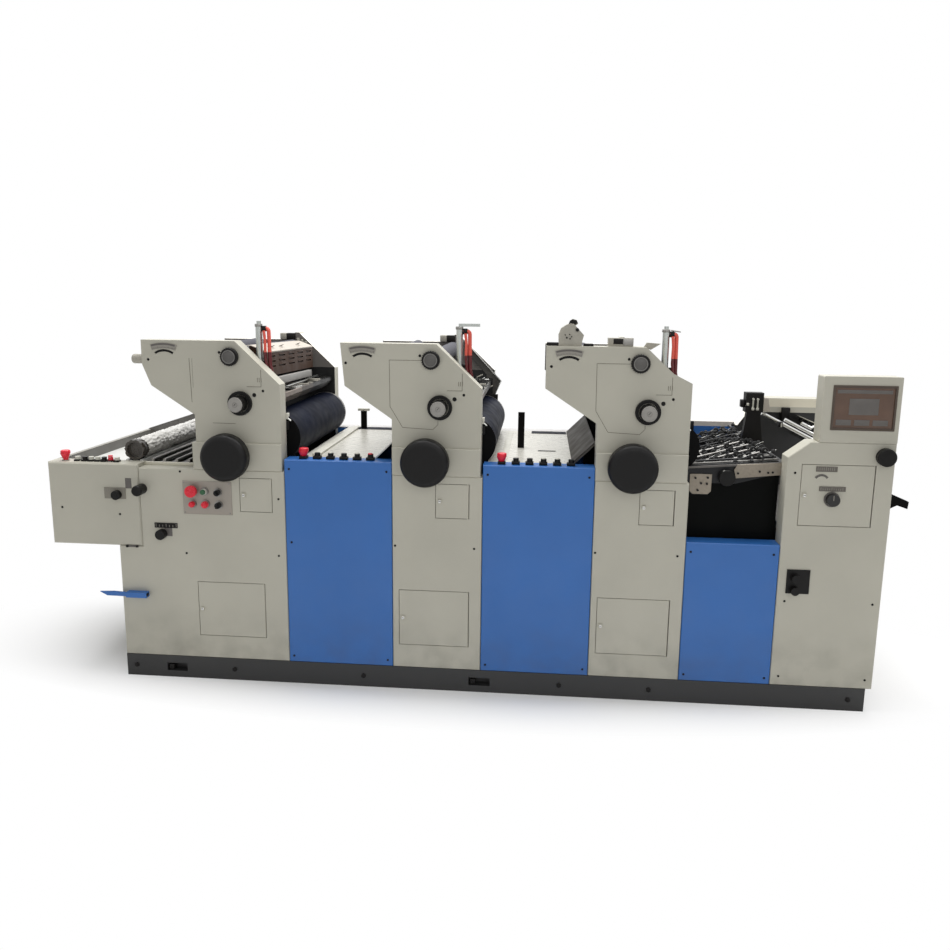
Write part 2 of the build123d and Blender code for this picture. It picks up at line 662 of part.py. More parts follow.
def black_buttons():
    """Push buttons on the covers, and the selectors of the control panel."""
    row = top_buttons(1) + top_buttons(2) + [panel_button(place, SELECTOR_L) for place in SELECTORS]
    return row + [end_button(x) for x in END_BLACK_X]


def pale_buttons():
    """White buttons of the delivery, and the green one of the control panel."""
    return [end_button(x) for x in END_PALE_X] + [panel_button(GREEN_BUTTON, BUTTON_L)]


def adjusters():
    """Slide plate, scales, rings and the switch plate on the operator side."""
    slide_x, slide_z = SLIDE_KNOB[0], SLIDE_KNOB[1]
    slide = block(slide_x - 59, slide_x + 36, -SLIDE_PLATE_T, 0, slide_z - 19, slide_z + 30)
    slide -= rod_y(slide_x, slide_z, -STEP, STEP, SMALL_STEM_R + 2)
    x0, x1, z0, z1 = TOWER_LABEL
    label = block(x0, x1, -LABEL_T, 0, z0, z1)
    x0, x1, z0, z1 = CONSOLE_PLATE
    plate = block(CONSOLE_LEFT + x0, CONSOLE_LEFT + x1, -PANEL_T, 0, z0, z1)
    for x, z in CONSOLE_SWITCHES:
        plate += rod_y(CONSOLE_LEFT + x, z, -SWITCH_L, -PANEL_T + 1, SWITCH_R)
    return [slide, label, plate] + dial_rings() + scale_plates()


def scale_plates():
    """Curved scales over the slots of the towers."""
    return [arch(tower_right(n) + SLOT_X, SCALE_TOP, SCALE_R, SCALE_W, SCALE_REACH, STEP - SCALE_T, STEP)
            for n in TOWERS]


def ink_rollers():
    """Ink train between the walls of each tower."""
    rollers = []
    for n in TOWERS:
        for x, z, radius in INK_ROLLERS:
            x, z = tower_right(n) - x, TOWER_TOP - z
            roller = rod_y(x, z, NEAR_IN + ROLLER_GAP, FAR_IN - ROLLER_GAP, radius)
            rollers.append(roller + rod_y(x, z, NEAR_IN, FAR_IN, SPINDLE_R))
    return rollers


def louvre_guard():
    """Vented guard over the damping unit of tower 1, on two feet between the walls."""
    near, far = NEAR_IN + GUARD_NEAR_GAP, FAR_IN - GUARD_FAR_GAP
    outline = below_top(1, GUARD_OUTLINE)
    body = slab(outline, near, far)
    pitch = (far - near) / LOUVRE_COLUMNS
    front, top = outline[2]
    for row in range(LOUVRE_ROWS):
        for k in range(LOUVRE_COLUMNS):
            place = Pos(front, near + pitch * (k + 0.5), top - LOUVRE_PITCH * (row + 1))
            body -= place * Box(*LOUVRE)
    left, low = outline[0]
    middle = Pos(front, (near + far) / 2, low)
    body = middle * Rot(-GUARD_TILT, 0, 0) * middle.inverse() * body
    rise = (far - near) / 2 * sin(radians(GUARD_TILT))
    for y0, y1, z in ((NEAR_IN, near + 2 * GUARD_FEET, low + rise), (far - 2 * GUARD_FEET, FAR_IN, low - rise)):
        body += block(left, left + 4 * GUARD_FEET, y0, y1, z - 1, z - 1 + GUARD_FEET)
    return body


def trays():
    """Damping tray with a trough at the foot of each tower's chamfer."""
    shells = []
    for n in TOWERS:
        outline = [(x, z - (TRAY_LESS[n] if k > 2 else 0)) for k, (x, z) in enumerate(TRAY_OUTLINE)]
        tray = slab(below_top(n, outline), NEAR_IN, FAR_IN)
        tray -= slab(below_top(n, TROUGH_OUTLINE), NEAR_IN + TROUGH_END, FAR_IN - TROUGH_END)
        shells.append(Pos(0, 0, TRAY_RISE[n]) * tray)
    return shells


def tables():
    """Sheet tables between the towers, turned down on the left and up at the next tower."""
    sheets = []
    t = TABLE_T
    for n in TOWERS[:-1]:
        a = tower_right(n) + TABLE_EDGE[n]
        b = tower_right(n) + TABLE_BEND[n]
        d = tower_right(n + 1) - COLUMN_W
        c = d - SLOPE_W
        low, z, high = COVER_TOP - TABLE_DROP, COVER_TOP, COVER_TOP + SLOPE_H
        sheets.append(slab([(a, low), (b, z), (c, z), (d, high), (d + t, high - t), (c + t, z - t),
                            (b + 1, z - t), (a, low - t)], NEAR_IN, FAR_IN))
    return sheets


def feed_z(x):
    """Height of the feed board's top at x."""
    return FEED_Z + (x - FEED_LEFT) * FEED_RISE


def feed_board():
    """Sloping feed board with side rails."""
    a, b = FEED_LEFT - FEED_OVERLAP, CONSOLE_LEFT + FEED_OVERLAP
    board = slab([(a, feed_z(a)), (b, feed_z(b)), (b, feed_z(b) - FEED_T), (a, feed_z(a) - FEED_T)], NEAR_IN, FAR_IN)
    lobe = [(FEED_LEFT + x, z) for x, z in RAIL_LOBE]
    near_top = [(a, NEAR_RAIL_TOP[0]), (b, NEAR_RAIL_TOP[1])]
    far_top = [(x, feed_z(x) + FAR_RAIL_RISE) for x in (a, b)]
    for y, top in ((NEAR_IN, near_top), (FAR_IN - RAIL_T, far_top)):
        board += slab(top + [(b, feed_z(b) - 5 * FEED_T)] + lobe + [(a, RAIL_LOW)], y, y + RAIL_T)
    return board - rod_y(FEED_LEFT + SIDE_KNOB[0], SIDE_KNOB[1], NEAR_IN - 1, NEAR_IN + RAIL_T + 1,
                         SMALL_STEM_R + SHAFT_FIT)


def feed_bar_places():
    """X and Z of the bars across the feed board."""
    places = [FEED_LEFT + FEED_BAR_START + FEED_BAR_PITCH * k for k in range(FEED_BAR_COUNT)]
    return [(x, feed_z(x) + FEED_BAR_RISE) for x in places]


def feed_rods():
    """Round bars across the feed board, and the guide bars behind them."""
    rods = [rod_y(x, z, NEAR_IN + RAIL_T, FAR_IN - RAIL_T, FEED_BAR_R) for x, z in feed_bar_places()]
    return rods + guide_bars()


def feed_wheels():
    """Rubber wheels on the feed bars, spread between the walls."""
    reach = FAR_IN - NEAR_IN - 2 * FEED_WHEEL_MARGIN - FEED_WHEEL_SHIFT
    pitch = reach / (FEED_WHEELS - 1)
    wheels = []
    for k, (x, z) in enumerate(feed_bar_places()):
        for j in range(FEED_WHEELS):
            y = NEAR_IN + FEED_WHEEL_MARGIN + pitch * j + (k % 2) * FEED_WHEEL_SHIFT
            wheel = rod_y(x, z, y, y + FEED_WHEEL_T, FEED_WHEEL_R)
            wheels.append(wheel - rod_y(x, z, y - 1, y + FEED_WHEEL_T + 1, FEED_BAR_R + FEED_WHEEL_FIT))
    return wheels


def side_knob():
    """Round knob on the near rail of the feed board."""
    x, z, radius, length = SIDE_KNOB
    return knob(FEED_LEFT + x, z, radius, length, NEAR_IN, 3, SMALL_STEM_R, RAIL_T)


def console(corner, y0, y1):
    """Side wall of the feeder, with its top left corner given as places."""
    x0, x1 = CONSOLE_LEFT + SEAM, CONSOLE_RIGHT
    return slab([(x0, BASE_H), (x1, BASE_H), (x1, CONSOLE_TOP)] + corner, y0, y1)


def console_opening():
    x0, x1, z0, z1 = CONSOLE_HATCH
    return CONSOLE_LEFT + x0, CONSOLE_LEFT + x1, z0, z1


def near_console():
    left = CONSOLE_LEFT + SEAM
    corner = [(left + CONSOLE_CUT_X, CONSOLE_TOP), (left, CONSOLE_TOP - CONSOLE_CUT_Z)]
    wall = cut_hatch(bevel_front(console(corner, 0, SIDE_T)), console_opening())
    return wall - knob_seat(CONSOLE_LEFT + CONSOLE_KNOB[0], CONSOLE_KNOB[1], 0, KNOB_STEM_R)


def far_console():
    """Drive-side wall of the feeder with the raised cover on top."""
    left, height, inwards = FAR_RISER
    corner = [(CONSOLE_LEFT + x, z) for x, z in FAR_CONSOLE_CUT]
    wall = bevel_back(console(corner, FAR_IN, DEPTH))
    return wall + block(CONSOLE_LEFT + left, CONSOLE_RIGHT, FAR_IN - inwards, DEPTH, CONSOLE_TOP, CONSOLE_TOP + height)


def console_door():
    """Door of the feeder console with its two scale plates and a knob."""
    door = hatch(console_opening())
    for x0, x1, z0, z1 in DOOR_LABELS:
        door += block(CONSOLE_LEFT + x0, CONSOLE_LEFT + x1, -LABEL_T, 1, z0, z1)
    x, z, radius, length = DOOR_DIAL
    return door + rod_y(CONSOLE_LEFT + x, z, -length, 1, radius)


def pile_board():
    """Pile board between the feeder's walls."""
    return block(CONSOLE_LEFT + PILE_GAP[0], CONSOLE_RIGHT - PILE_GAP[1], NEAR_IN, FAR_IN, PILE_Z - PILE_T, PILE_Z)


def feeder_head():
    """Suction head over the feed board, on its post."""
    left, near = CONSOLE_LEFT + HEAD_LEFT, NEAR_IN + HEAD_NEAR
    right, far = left + HEAD_W, near + HEAD_D
    head = block(left, right, near, far, HEAD_Z, HEAD_Z + HEAD_H)
    foot_left, foot_right = left - HEAD_POST_FLARE, right + HEAD_POST_FLARE
    post = slab([(foot_left, feed_z(foot_left)), (foot_right, feed_z(foot_right)), (right - HEAD_POST_FLARE, HEAD_Z),
                 (left + HEAD_POST_FLARE, HEAD_Z)], near + HEAD_POST_INSET, far - HEAD_POST_INSET)
    return head + post


def guide_bars():
    """Bright guide bars that slope down to a strip between the walls."""
    x0, x1, z0, z1 = GUIDE_STRIP
    strip = block(CONSOLE_LEFT + x0, CONSOLE_LEFT + x1, NEAR_IN, FAR_IN, z0, z1)
    for y, left, z in GUIDES:
        run = x0 + 1 - left
        slope = Plane(origin=(CONSOLE_LEFT + left, y, z), z_dir=(1, 0, -GUIDE_FALL))
        strip += extrude(slope * Circle(GUIDE_R), amount=run * (1 + GUIDE_FALL ** 2) ** 0.5)
    return [strip]


def touch_box():
    """Housing of the touch screen on the near console."""
    x0, x1 = CONSOLE_LEFT + SCREEN_LEFT, CONSOLE_RIGHT
    left, right, below, above = SCREEN_MARGIN
    box = block(x0, x1, 0, SIDE_T - 2, CONSOLE_TOP, SCREEN_TOP)
    box = fillet(box.edges().filter_by(Axis.Y), SCREEN_ROUND)
    return box - block(x0 + left, x1 - right, -1, SCREEN_DEPTH, CONSOLE_TOP + below, SCREEN_TOP - above)


def touch_screen():
    """Display, set back in its housing."""
    x0, x1 = CONSOLE_LEFT + SCREEN_LEFT, CONSOLE_RIGHT
    left, right, below, above = SCREEN_MARGIN
    return block(x0 + left + SEAM, x1 - right - SEAM, SCREEN_DEPTH - SCREEN_T, SCREEN_DEPTH,
                 CONSOLE_TOP + below + SEAM, SCREEN_TOP - above - SEAM)


def air_cylinders():
    """Upright air cylinders inside the near wall, at the chamfer of each tower."""
    foot = TOWER_TOP - RAM_FOOT
    top = foot + RAM_L
    cap = TOWER_TOP + RAM_TOP
    rams = []
    for n in TOWERS:
        x = tower_right(n) + RAM_X[n]
        ram = rod_z(x, RAM_Y, foot, top, RAM_R) + rod_z(x, RAM_Y, foot - 4 * RAM_FOOT_T, foot, RAM_R / 3)
        ram += block(x - 20, x + 24, NEAR_IN, RAM_Y + 20, foot - RAM_FOOT_T, foot)
        if n == 2:
            ram += block(x - 4, x + 84, RAM_Y - 6, RAM_Y + 6, top, cap)
        else:
            ram += rod_z(x, RAM_Y, top - 1, cap, RAM_R * 0.65)
        rams.append(ram)
    return rams


def hose_route(n):
    """Corners of the air hose that drops beside an air cylinder."""
    x = tower_right(n) + RAM_X[n]
    return [(x + along, RAM_Y, TOWER_TOP + height) for along, height in HOSE_CORNERS]


def air_hoses():
    """Red hose and its elbow at each air cylinder."""
    hoses = []
    for n in TOWERS:
        route = hose_route(n)
        x, y, z = route[0]
        hose = sweep(Plane(origin=route[0], z_dir=(1, 0, 0)) * Circle(HOSE_R),
                     path=FilletPolyline(*route, radius=HOSE_BEND))
        hoses.append(hose + rod_x(y, z, tower_right(n) + RAM_X[n] + RAM_R, x, ELBOW_R))
    return hoses


def above_tower(places):
    """Turns places given as (from tower 3's right edge, above its top) into X and Z."""
    return [(tower_right(3) + x, TOWER_TOP + z) for x, z in places]


def top_fittings():
    """Housings and the hook on top of tower 3, and the knob on tower 1's left edge."""
    drive = slab(above_tower(DRIVE_OUTLINE), *DRIVE_Y)
    hook = slab(above_tower(HOOK), *HOOK_Y) - drive
    left, right, near, far, height = SMALL_BOX
    small = block(tower_right(3) + left, tower_right(3) + right, near, far, TOWER_TOP, TOWER_TOP + height)
    y, low, radius, length = WING_KNOB
    edge = tower_right(1) - WING_W[1]
    wing_knob = rod_x(y, TOWER_TOP - low, edge - length, edge + radius, radius)
    wing_knob = fillet(wing_knob.faces().sort_by(Axis.X)[0].edges(), radius * 0.4)
    return [drive, hook, small, wing_knob - slab(wing_outline(1), STEP, SIDE_T)]


def end_bracket():
    """Black bracket that sticks out of the feeder's end."""
    return slab([(CONSOLE_RIGHT + x, z) for x, z in END_BRACKET], *END_BRACKET_Y)


def table_posts():
    """Black upright strips on the tables."""
    posts = []
    for n, (x, from_far, height) in POSTS.items():
        left, y = tower_right(n) + x, FAR_IN - from_far
        posts.append(block(left, left + POST_W, y, y + POST_T, COVER_TOP, COVER_TOP + height))
    return posts


def feed_guard():
    """Black plate behind the low blue cover, up to the feed board."""
    y = NEAR_IN + RAIL_T + FEED_GUARD_GAP
    a, b = FEED_LEFT + SEAM, CONSOLE_LEFT - SEAM
    below = FEED_T + FEED_GUARD_GAP
    return slab([(a, BASE_H), (b, BASE_H), (b, feed_z(b) - below), (a, feed_z(a) - below)], y, y + FEED_GUARD_T)


def unit_guard():
    """Dark plate beside the damping unit of tower 2, on the inside of the far wall."""
    outline = [(tower_right(2) + x, TOWER_TOP - z) for x, z in UNIT_GUARD]
    return slab(outline, FAR_IN - UNIT_GUARD_T, FAR_IN)


def black_brackets():
    """Dark sheet-metal parts."""
    return [end_bracket(), feed_guard(), unit_guard()] + table_posts()


def pile_bracket():
    """Blue channel with a grey blade at the foot of the delivery."""
    x0, x1, z0, z1 = CHANNEL
    wall = CHANNEL_WALL
    channel = block(x0, x1, -CHANNEL_D, 0, z0, z1)
    channel -= block(x0 + 20, x1 + 1, -CHANNEL_D + wall, -wall, z0 + wall, z1 - wall)
    return channel + slab([(x0 + x, z0 + z) for x, z in BLADE], *BLADE_Y)


def all_parts():
    """Every node of the press and its solids."""
    parts = {"base_plinth": base_plinth()}
    for n in TOWERS:
        parts[f"near_side_{n}"] = near_side(n)
        parts[f"far_side_{n}"] = far_side(n)
        parts[f"handwheel_{n}"] = handwheel(n)
        parts[f"plate_cylinder_{n}"] = plate_cylinder(n)
        parts[f"lock_knob_{n}"] = lock_knob(n)
        parts[f"dial_knob_{n}"] = dial_knob(n)
        parts[f"lower_hatch_{n}"] = hatch(hatch_box(n, "lower"))
        parts[f"upper_hatch_{n}"] = hatch(hatch_box(n, "upper"))
    parts["near_covers"] = covers(0, SIDE_T, LOW_COVER_TOP, bevel_front)
    parts["far_covers"] = covers(FAR_IN, DEPTH, FAR_COVER_TOP, bevel_back)
    for make in (delivery_boxes, delivery_deck, wrapped_roll, end_panels, control_panel, slide_knob, stop_knob,
                 tower_knob, red_buttons, black_buttons, pale_buttons, adjusters, ink_rollers, louvre_guard,
                 trays, tables, feed_board, feed_rods, feed_wheels, side_knob, near_console, far_console,
                 console_door, console_knob, pile_board, feeder_head, touch_box, touch_screen, air_cylinders,
                 air_hoses, top_fittings, black_brackets, pile_bracket):
        parts[make.__name__] = make()
    return parts


RIGHT_END = CONSOLE_RIGHT + END_BRACKET_L
NEAR_END = -WHEEL_BACK - WHEEL_T
TO_ORIGIN = Pos((DELIVERY_LEFT - RIGHT_END) / 2, -(NEAR_END + DEPTH) / 2, 0)

os.makedirs("parts", exist_ok=True)
for name, shape in all_parts().items():
    solids = shape if isinstance(shape, list) else [shape]
    placed = [TO_ORIGIN * s for piece in solids for s in piece.solids()]
    export_step(placed[0] if len(placed) == 1 else Compound(children=placed), f"parts/{name}.step")
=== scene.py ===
"""Looks of a three-unit offset printing press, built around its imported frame."""
import math
import random

import bmesh
import bpy
from bpy.props import FloatProperty, FloatVectorProperty, IntProperty, PointerProperty
from mathutils import Matrix, Vector, noise


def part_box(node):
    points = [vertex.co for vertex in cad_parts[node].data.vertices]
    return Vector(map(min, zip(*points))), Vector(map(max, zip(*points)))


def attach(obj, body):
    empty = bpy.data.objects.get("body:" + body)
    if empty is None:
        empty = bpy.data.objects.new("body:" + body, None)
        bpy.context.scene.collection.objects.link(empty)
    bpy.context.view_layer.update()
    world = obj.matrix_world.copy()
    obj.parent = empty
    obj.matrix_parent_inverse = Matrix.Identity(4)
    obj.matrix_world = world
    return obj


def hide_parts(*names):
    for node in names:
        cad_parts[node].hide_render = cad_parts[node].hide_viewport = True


bl_info = {
    "name": "Offset Press Looks",
    "version": (1, 0, 0),
    "blender": (4, 5, 0),
    "location": "3D View > Sidebar > Press",
    "description": "Finishes, fittings, camera and light for the offset printing press",
    "category": "Object",
}

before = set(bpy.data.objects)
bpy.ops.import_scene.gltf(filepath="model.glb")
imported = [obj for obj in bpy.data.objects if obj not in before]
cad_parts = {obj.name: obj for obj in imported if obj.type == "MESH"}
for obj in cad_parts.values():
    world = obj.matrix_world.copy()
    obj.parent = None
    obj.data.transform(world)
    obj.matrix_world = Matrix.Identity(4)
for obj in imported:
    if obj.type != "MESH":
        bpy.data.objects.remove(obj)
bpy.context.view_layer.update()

# Places below are in millimetres: X from the right edge of tower 1, Y from the front plane of the
# operator side, Z from the floor.
MM = 0.001
CORNER = Vector((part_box("near_side_1")[1].x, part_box("near_side_1")[0].y, 0.0))
PITCH = 840.0
TOWERS = (1, 2, 3)
DEPTH = 1000.0
WALL = 80.0
STEP = 8.0
INNER_NEAR = WALL
INNER_FAR = DEPTH - WALL
COVER_TOP = 1005.0
TOWER_TOP = 1497.0
CONSOLE_LEFT = 2056.0
FEED_LEFT = 1680.0
DELIVERY_TOP = 967.0
BUTTON_LEFT = 135
BUTTON_PITCH = 57
SLOPE_FOOT = 370
SLOPE_TOP = 459.5
WHEEL = (-235.0, 1017.0)
PLATE = (-57.0, 1085.0)
LOCK = (-217.0, 1432.0)
DIAL = (-180.0, 1239.0)
SMOOTH_ANGLE = math.radians(38)
UP = Vector((0, 0, 1))


def colour(r, g, b, a=1.0):
    """Linear colour from the 0 to 255 values that a colour chart gives."""
    def one(v):
        v /= 255
        return v / 12.92 if v <= 0.04045 else ((v + 0.055) / 1.055) ** 2.4
    return (one(r), one(g), one(b), a)


def at(x, y, z):
    """A place in millimetres, as metres in the frame."""
    return CORNER + Vector((x, y, z)) * MM


def tower(n):
    """Right edge of tower n."""
    return (n - 1) * PITCH


# Settings

class PressColours(bpy.types.PropertyGroup):
    panel: FloatVectorProperty(name="Panels", description="Warm grey paint of the side walls",
                               subtype="COLOR", size=4, default=colour(184, 181, 167))
    covers: FloatVectorProperty(name="Covers", description="Blue paint of the lower covers",
                                subtype="COLOR", size=4, default=colour(46, 104, 176))
    base: FloatVectorProperty(name="Base", description="Black paint of the base", subtype="COLOR", size=4,
                              default=colour(22, 21, 18))
    knobs: FloatVectorProperty(name="Knobs", description="Black of knobs and handwheels", subtype="COLOR",
                               size=4, default=colour(20, 19, 18))
    stops: FloatVectorProperty(name="Stop buttons", description="Red of the stop buttons", subtype="COLOR",
                               size=4, default=colour(224, 30, 52))
    louvres: FloatVectorProperty(name="Louvred guard", description="Brown of the louvred guards",
                                 subtype="COLOR", size=4, default=colour(64, 44, 32))


class PressSizes(bpy.types.PropertyGroup):
    screw: FloatProperty(name="Screw head", description="Radius of the panel screws", default=5.5 * MM,
                         unit="LENGTH")
    seam: FloatProperty(name="Seam", description="Width of the drawn cover seams", default=2.2 * MM,
                        unit="LENGTH")
    rod: FloatProperty(name="Feed rod", description="Radius of the rods on the feed board",
                       default=4.5 * MM, unit="LENGTH")
    wheels: IntProperty(name="Feed wheels", description="Rows of wheels on the feed board", default=10)
    crumple: FloatProperty(name="Film folds", description="Depth of the folds in the film roll",
                           default=5.0 * MM, unit="LENGTH")


class PressStudio(bpy.types.PropertyGroup):
    lens: FloatProperty(name="Lens", description="Focal length in millimetres", default=30.883)
    top_light: FloatProperty(name="Top light", description="Power of the overhead lamp", default=285.0,
                             unit="POWER")
    fill_light: FloatProperty(name="Fill light", description="Power of the lamp behind the camera",
                              default=30.0, unit="POWER")
    sky: FloatProperty(name="Sky", description="Strength of the white surroundings", default=0.42)


def setting():
    return bpy.context.scene.press_colours, bpy.context.scene.press_sizes, bpy.context.scene.press_studio


# Node groups

def node_group(name, inputs, outputs):
    """An empty shader group with named sockets, and its input and output nodes."""
    tree = bpy.data.node_groups.new(name, "ShaderNodeTree")
    for title, kind, value in inputs:
        socket = tree.interface.new_socket(name=title, in_out="INPUT", socket_type=kind)
        if value is not None:
            socket.default_value = value
    for title, kind in outputs:
        tree.interface.new_socket(name=title, in_out="OUTPUT", socket_type=kind)
    return tree, tree.nodes.new("NodeGroupInput"), tree.nodes.new("NodeGroupOutput")


def wire(tree, a, out, b, into):
    tree.links.new(a.outputs[out], b.inputs[into])


def math_node(tree, kind, first=None, second=None, clamp=False):
    """A Math node; first and second are numbers or (node, output)."""
    node = tree.nodes.new("ShaderNodeMath")
    node.operation = kind
    node.use_clamp = clamp
    for k, value in enumerate((first, second)):
        if isinstance(value, tuple):
            wire(tree, value[0], value[1], node, k)
        elif value is not None:
            node.inputs[k].default_value = value
    return node


def mix_colour(tree, factor, a, b):
    """A colour mix; each argument is a value or (node, output)."""
    node = tree.nodes.new("ShaderNodeMix")
    node.data_type = "RGBA"
    for value, socket in ((factor, node.inputs[0]), (a, node.inputs[6]), (b, node.inputs[7])):
        if isinstance(value, tuple) and isinstance(value[0], bpy.types.Node):
            tree.links.new(value[0].outputs[value[1]], socket)
        else:
            socket.default_value = value
    return node


def remap(tree, source, low, high, to_low=0.0, to_high=1.0):
    node = tree.nodes.new("ShaderNodeMapRange")
    wire(tree, source[0], source[1], node, 0)
    for k, value in enumerate((low, high, to_low, to_high)):
        node.inputs[k + 1].default_value = value
    return node


def object_place(tree):
    """The Object coordinates of a material's surface."""
    return tree.nodes.new("ShaderNodeTexCoord"), "Object"


def noise_over(tree, place, detail, scale):
    """A noise texture over a place; scale is a number or (node, output)."""
    cloud = tree.nodes.new("ShaderNodeTexNoise")
    cloud.inputs["Detail"].default_value = detail
    wire(tree, place[0], place[1], cloud, "Vector")
    if isinstance(scale, tuple):
        wire(tree, scale[0], scale[1], cloud, "Scale")
    else:
        cloud.inputs["Scale"].default_value = scale
    return cloud


def make_groups():
    """Effects that the finishes share."""
    tree, start, end = node_group("colour_drift", [
        ("Colour", "NodeSocketColor", None), ("Other", "NodeSocketColor", None),
        ("Scale", "NodeSocketFloat", 4.0), ("Amount", "NodeSocketFloat", 0.3)],
        [("Colour", "NodeSocketColor")])
    cloud = noise_over(tree, object_place(tree), 5.0, (start, "Scale"))
    spread = remap(tree, (cloud, 0), 0.35, 0.68)
    part = math_node(tree, "MULTIPLY", (spread, 0), (start, "Amount"))
    mixed = mix_colour(tree, (part, 0), (start, "Colour"), (start, "Other"))
    wire(tree, mixed, 2, end, "Colour")

    tree, start, end = node_group("floor_grime", [
        ("Colour", "NodeSocketColor", None), ("Grime", "NodeSocketColor", None),
        ("Reach", "NodeSocketFloat", 0.4), ("Amount", "NodeSocketFloat", 0.5)],
        [("Colour", "NodeSocketColor")])
    place = object_place(tree)
    apart = tree.nodes.new("ShaderNodeSeparateXYZ")
    wire(tree, place[0], place[1], apart, 0)
    share = math_node(tree, "DIVIDE", (apart, 2), (start, "Reach"))
    fade = math_node(tree, "SUBTRACT", 1.0, (share, 0), clamp=True)
    cloud = noise_over(tree, place, 6.0, 9.0)
    patches = remap(tree, (cloud, 0), 0.4, 0.75)
    both = math_node(tree, "MULTIPLY", (fade, 0), (patches, 0))
    part = math_node(tree, "MULTIPLY", (both, 0), (start, "Amount"), clamp=True)
    mixed = mix_colour(tree, (part, 0), (start, "Colour"), (start, "Grime"))
    wire(tree, mixed, 2, end, "Colour")

    tree, start, end = node_group("relief", [("Scale", "NodeSocketFloat", 300.0)],
                                  [("Height", "NodeSocketFloat")])
    grain = noise_over(tree, object_place(tree), 2.0, (start, "Scale"))
    wire(tree, grain, 0, end, "Height")

    tree, start, end = node_group("drawn_lines", [("Stretch", "NodeSocketVector", None)],
                                  [("Value", "NodeSocketFloat")])
    place = tree.nodes.new("ShaderNodeTexCoord")
    stretched = tree.nodes.new("ShaderNodeVectorMath")
    stretched.operation = "MULTIPLY"
    wire(tree, place, "Object", stretched, 0)
    wire(tree, start, "Stretch", stretched, 1)
    lines = noise_over(tree, (stretched, 0), 3.0, 1.0)
    wire(tree, lines, 0, end, "Value")

    tree, start, end = node_group("span", [
        ("Direction", "NodeSocketVector", None), ("Low", "NodeSocketFloat", 0.0),
        ("High", "NodeSocketFloat", 1.0)], [("Mask", "NodeSocketFloat")])
    place = tree.nodes.new("ShaderNodeTexCoord")
    along = tree.nodes.new("ShaderNodeVectorMath")
    along.operation = "DOT_PRODUCT"
    wire(tree, place, "Object", along, 0)
    wire(tree, start, "Direction", along, 1)
    above = math_node(tree, "GREATER_THAN", (along, "Value"), (start, "Low"))
    below = math_node(tree, "LESS_THAN", (along, "Value"), (start, "High"))
    inside = math_node(tree, "MULTIPLY", (above, 0), (below, 0))
    wire(tree, inside, 0, end, "Mask")


def use(tree, name, **values):
    """Places a group in a material and sets its inputs; a value may be (node, output)."""
    node = tree.nodes.new("ShaderNodeGroup")
    node.node_tree = bpy.data.node_groups[name]
    for key, value in values.items():
        if isinstance(value, tuple) and isinstance(value[0], bpy.types.Node):
            wire(tree, value[0], value[1], node, key)
        else:
            node.inputs[key].default_value = value
    return node


def blank(name):
    """A material with only its shader."""
    mat = bpy.data.materials.new(name)
    mat.use_nodes = True
    tree = mat.node_tree
    tree.nodes.clear()
    shader = tree.nodes.new("ShaderNodeBsdfPrincipled")
    end = tree.nodes.new("ShaderNodeOutputMaterial")
    wire(tree, shader, 0, end, 0)
    return tree, shader


def bump(tree, shader, height, strength, distance):
    node = tree.nodes.new("ShaderNodeBump")
    node.inputs["Strength"].default_value = strength
    node.inputs["Distance"].default_value = distance
    wire(tree, height[0], height[1], node, "Height")
    wire(tree, node, 0, shader, "Normal")


def roughness(tree, shader, pattern, low, high):
    """Lets the roughness run from low to high with a pattern."""
    wire(tree, remap(tree, (pattern, 0), 0.3, 0.7, low, high), 0, shader, "Roughness")


def darker(c, share):
    return (c[0] * share, c[1] * share, c[2] * share, 1.0)


def along(axis, low, high):
    """A span from low to high millimetres along X, Y or Z, for a region of a finish."""
    direction = tuple(float(axis == name) for name in "XYZ")
    a, b = ((at(v, v, v) @ Vector(direction)) for v in (low, high))
    return direction, a, b


def with_regions(tree, last, regions):
    """Lays other colours over a colour, each where all of its spans meet."""
    for shade, spans in regions:
        mask = None
        for direction, low, high in spans:
            span = use(tree, "span", Direction=direction, Low=low, High=high)
            mask = (span, "Mask") if mask is None else (math_node(tree, "MULTIPLY", mask, (span, "Mask")), 0)
        last = (mix_colour(tree, mask, last, shade), 2)
    return last


def paint(name, base, rough=0.42, grime=0.5, reach=0.35, regions=(), gloss=0.5):
    """Sprayed paint with faint cloudiness, floor grime and orange peel."""
    tree, shader = blank(name)
    shader.inputs["Specular IOR Level"].default_value = gloss
    drift = use(tree, "colour_drift", Colour=tuple(base), Other=darker(base, 0.86), Scale=3.0, Amount=0.55)
    last = with_regions(tree, (drift, "Colour"), regions)
    dirty = use(tree, "floor_grime", Colour=last, Grime=colour(70, 62, 50), Reach=reach, Amount=grime)
    wire(tree, dirty, "Colour", shader, "Base Color")
    wear = use(tree, "relief", Scale=14.0)
    roughness(tree, shader, wear, rough - 0.07, rough + 0.1)
    peel = use(tree, "relief", Scale=420.0)
    bump(tree, shader, (peel, 0), 0.12, 0.0006)


def plastic(name, base, rough=0.35, drift=0.4, gloss=0.5):
    """Moulded plastic with a fine grain."""
    tree, shader = blank(name)
    shader.inputs["Specular IOR Level"].default_value = gloss
    tone = use(tree, "colour_drift", Colour=tuple(base), Other=darker(base, 0.7), Scale=22.0, Amount=drift)
    wire(tree, tone, 0, shader, "Base Color")
    wear = use(tree, "relief", Scale=60.0)
    roughness(tree, shader, wear, rough - 0.06, rough + 0.12)
    grain = use(tree, "relief", Scale=900.0)
    bump(tree, shader, (grain, 0), 0.15, 0.0003)


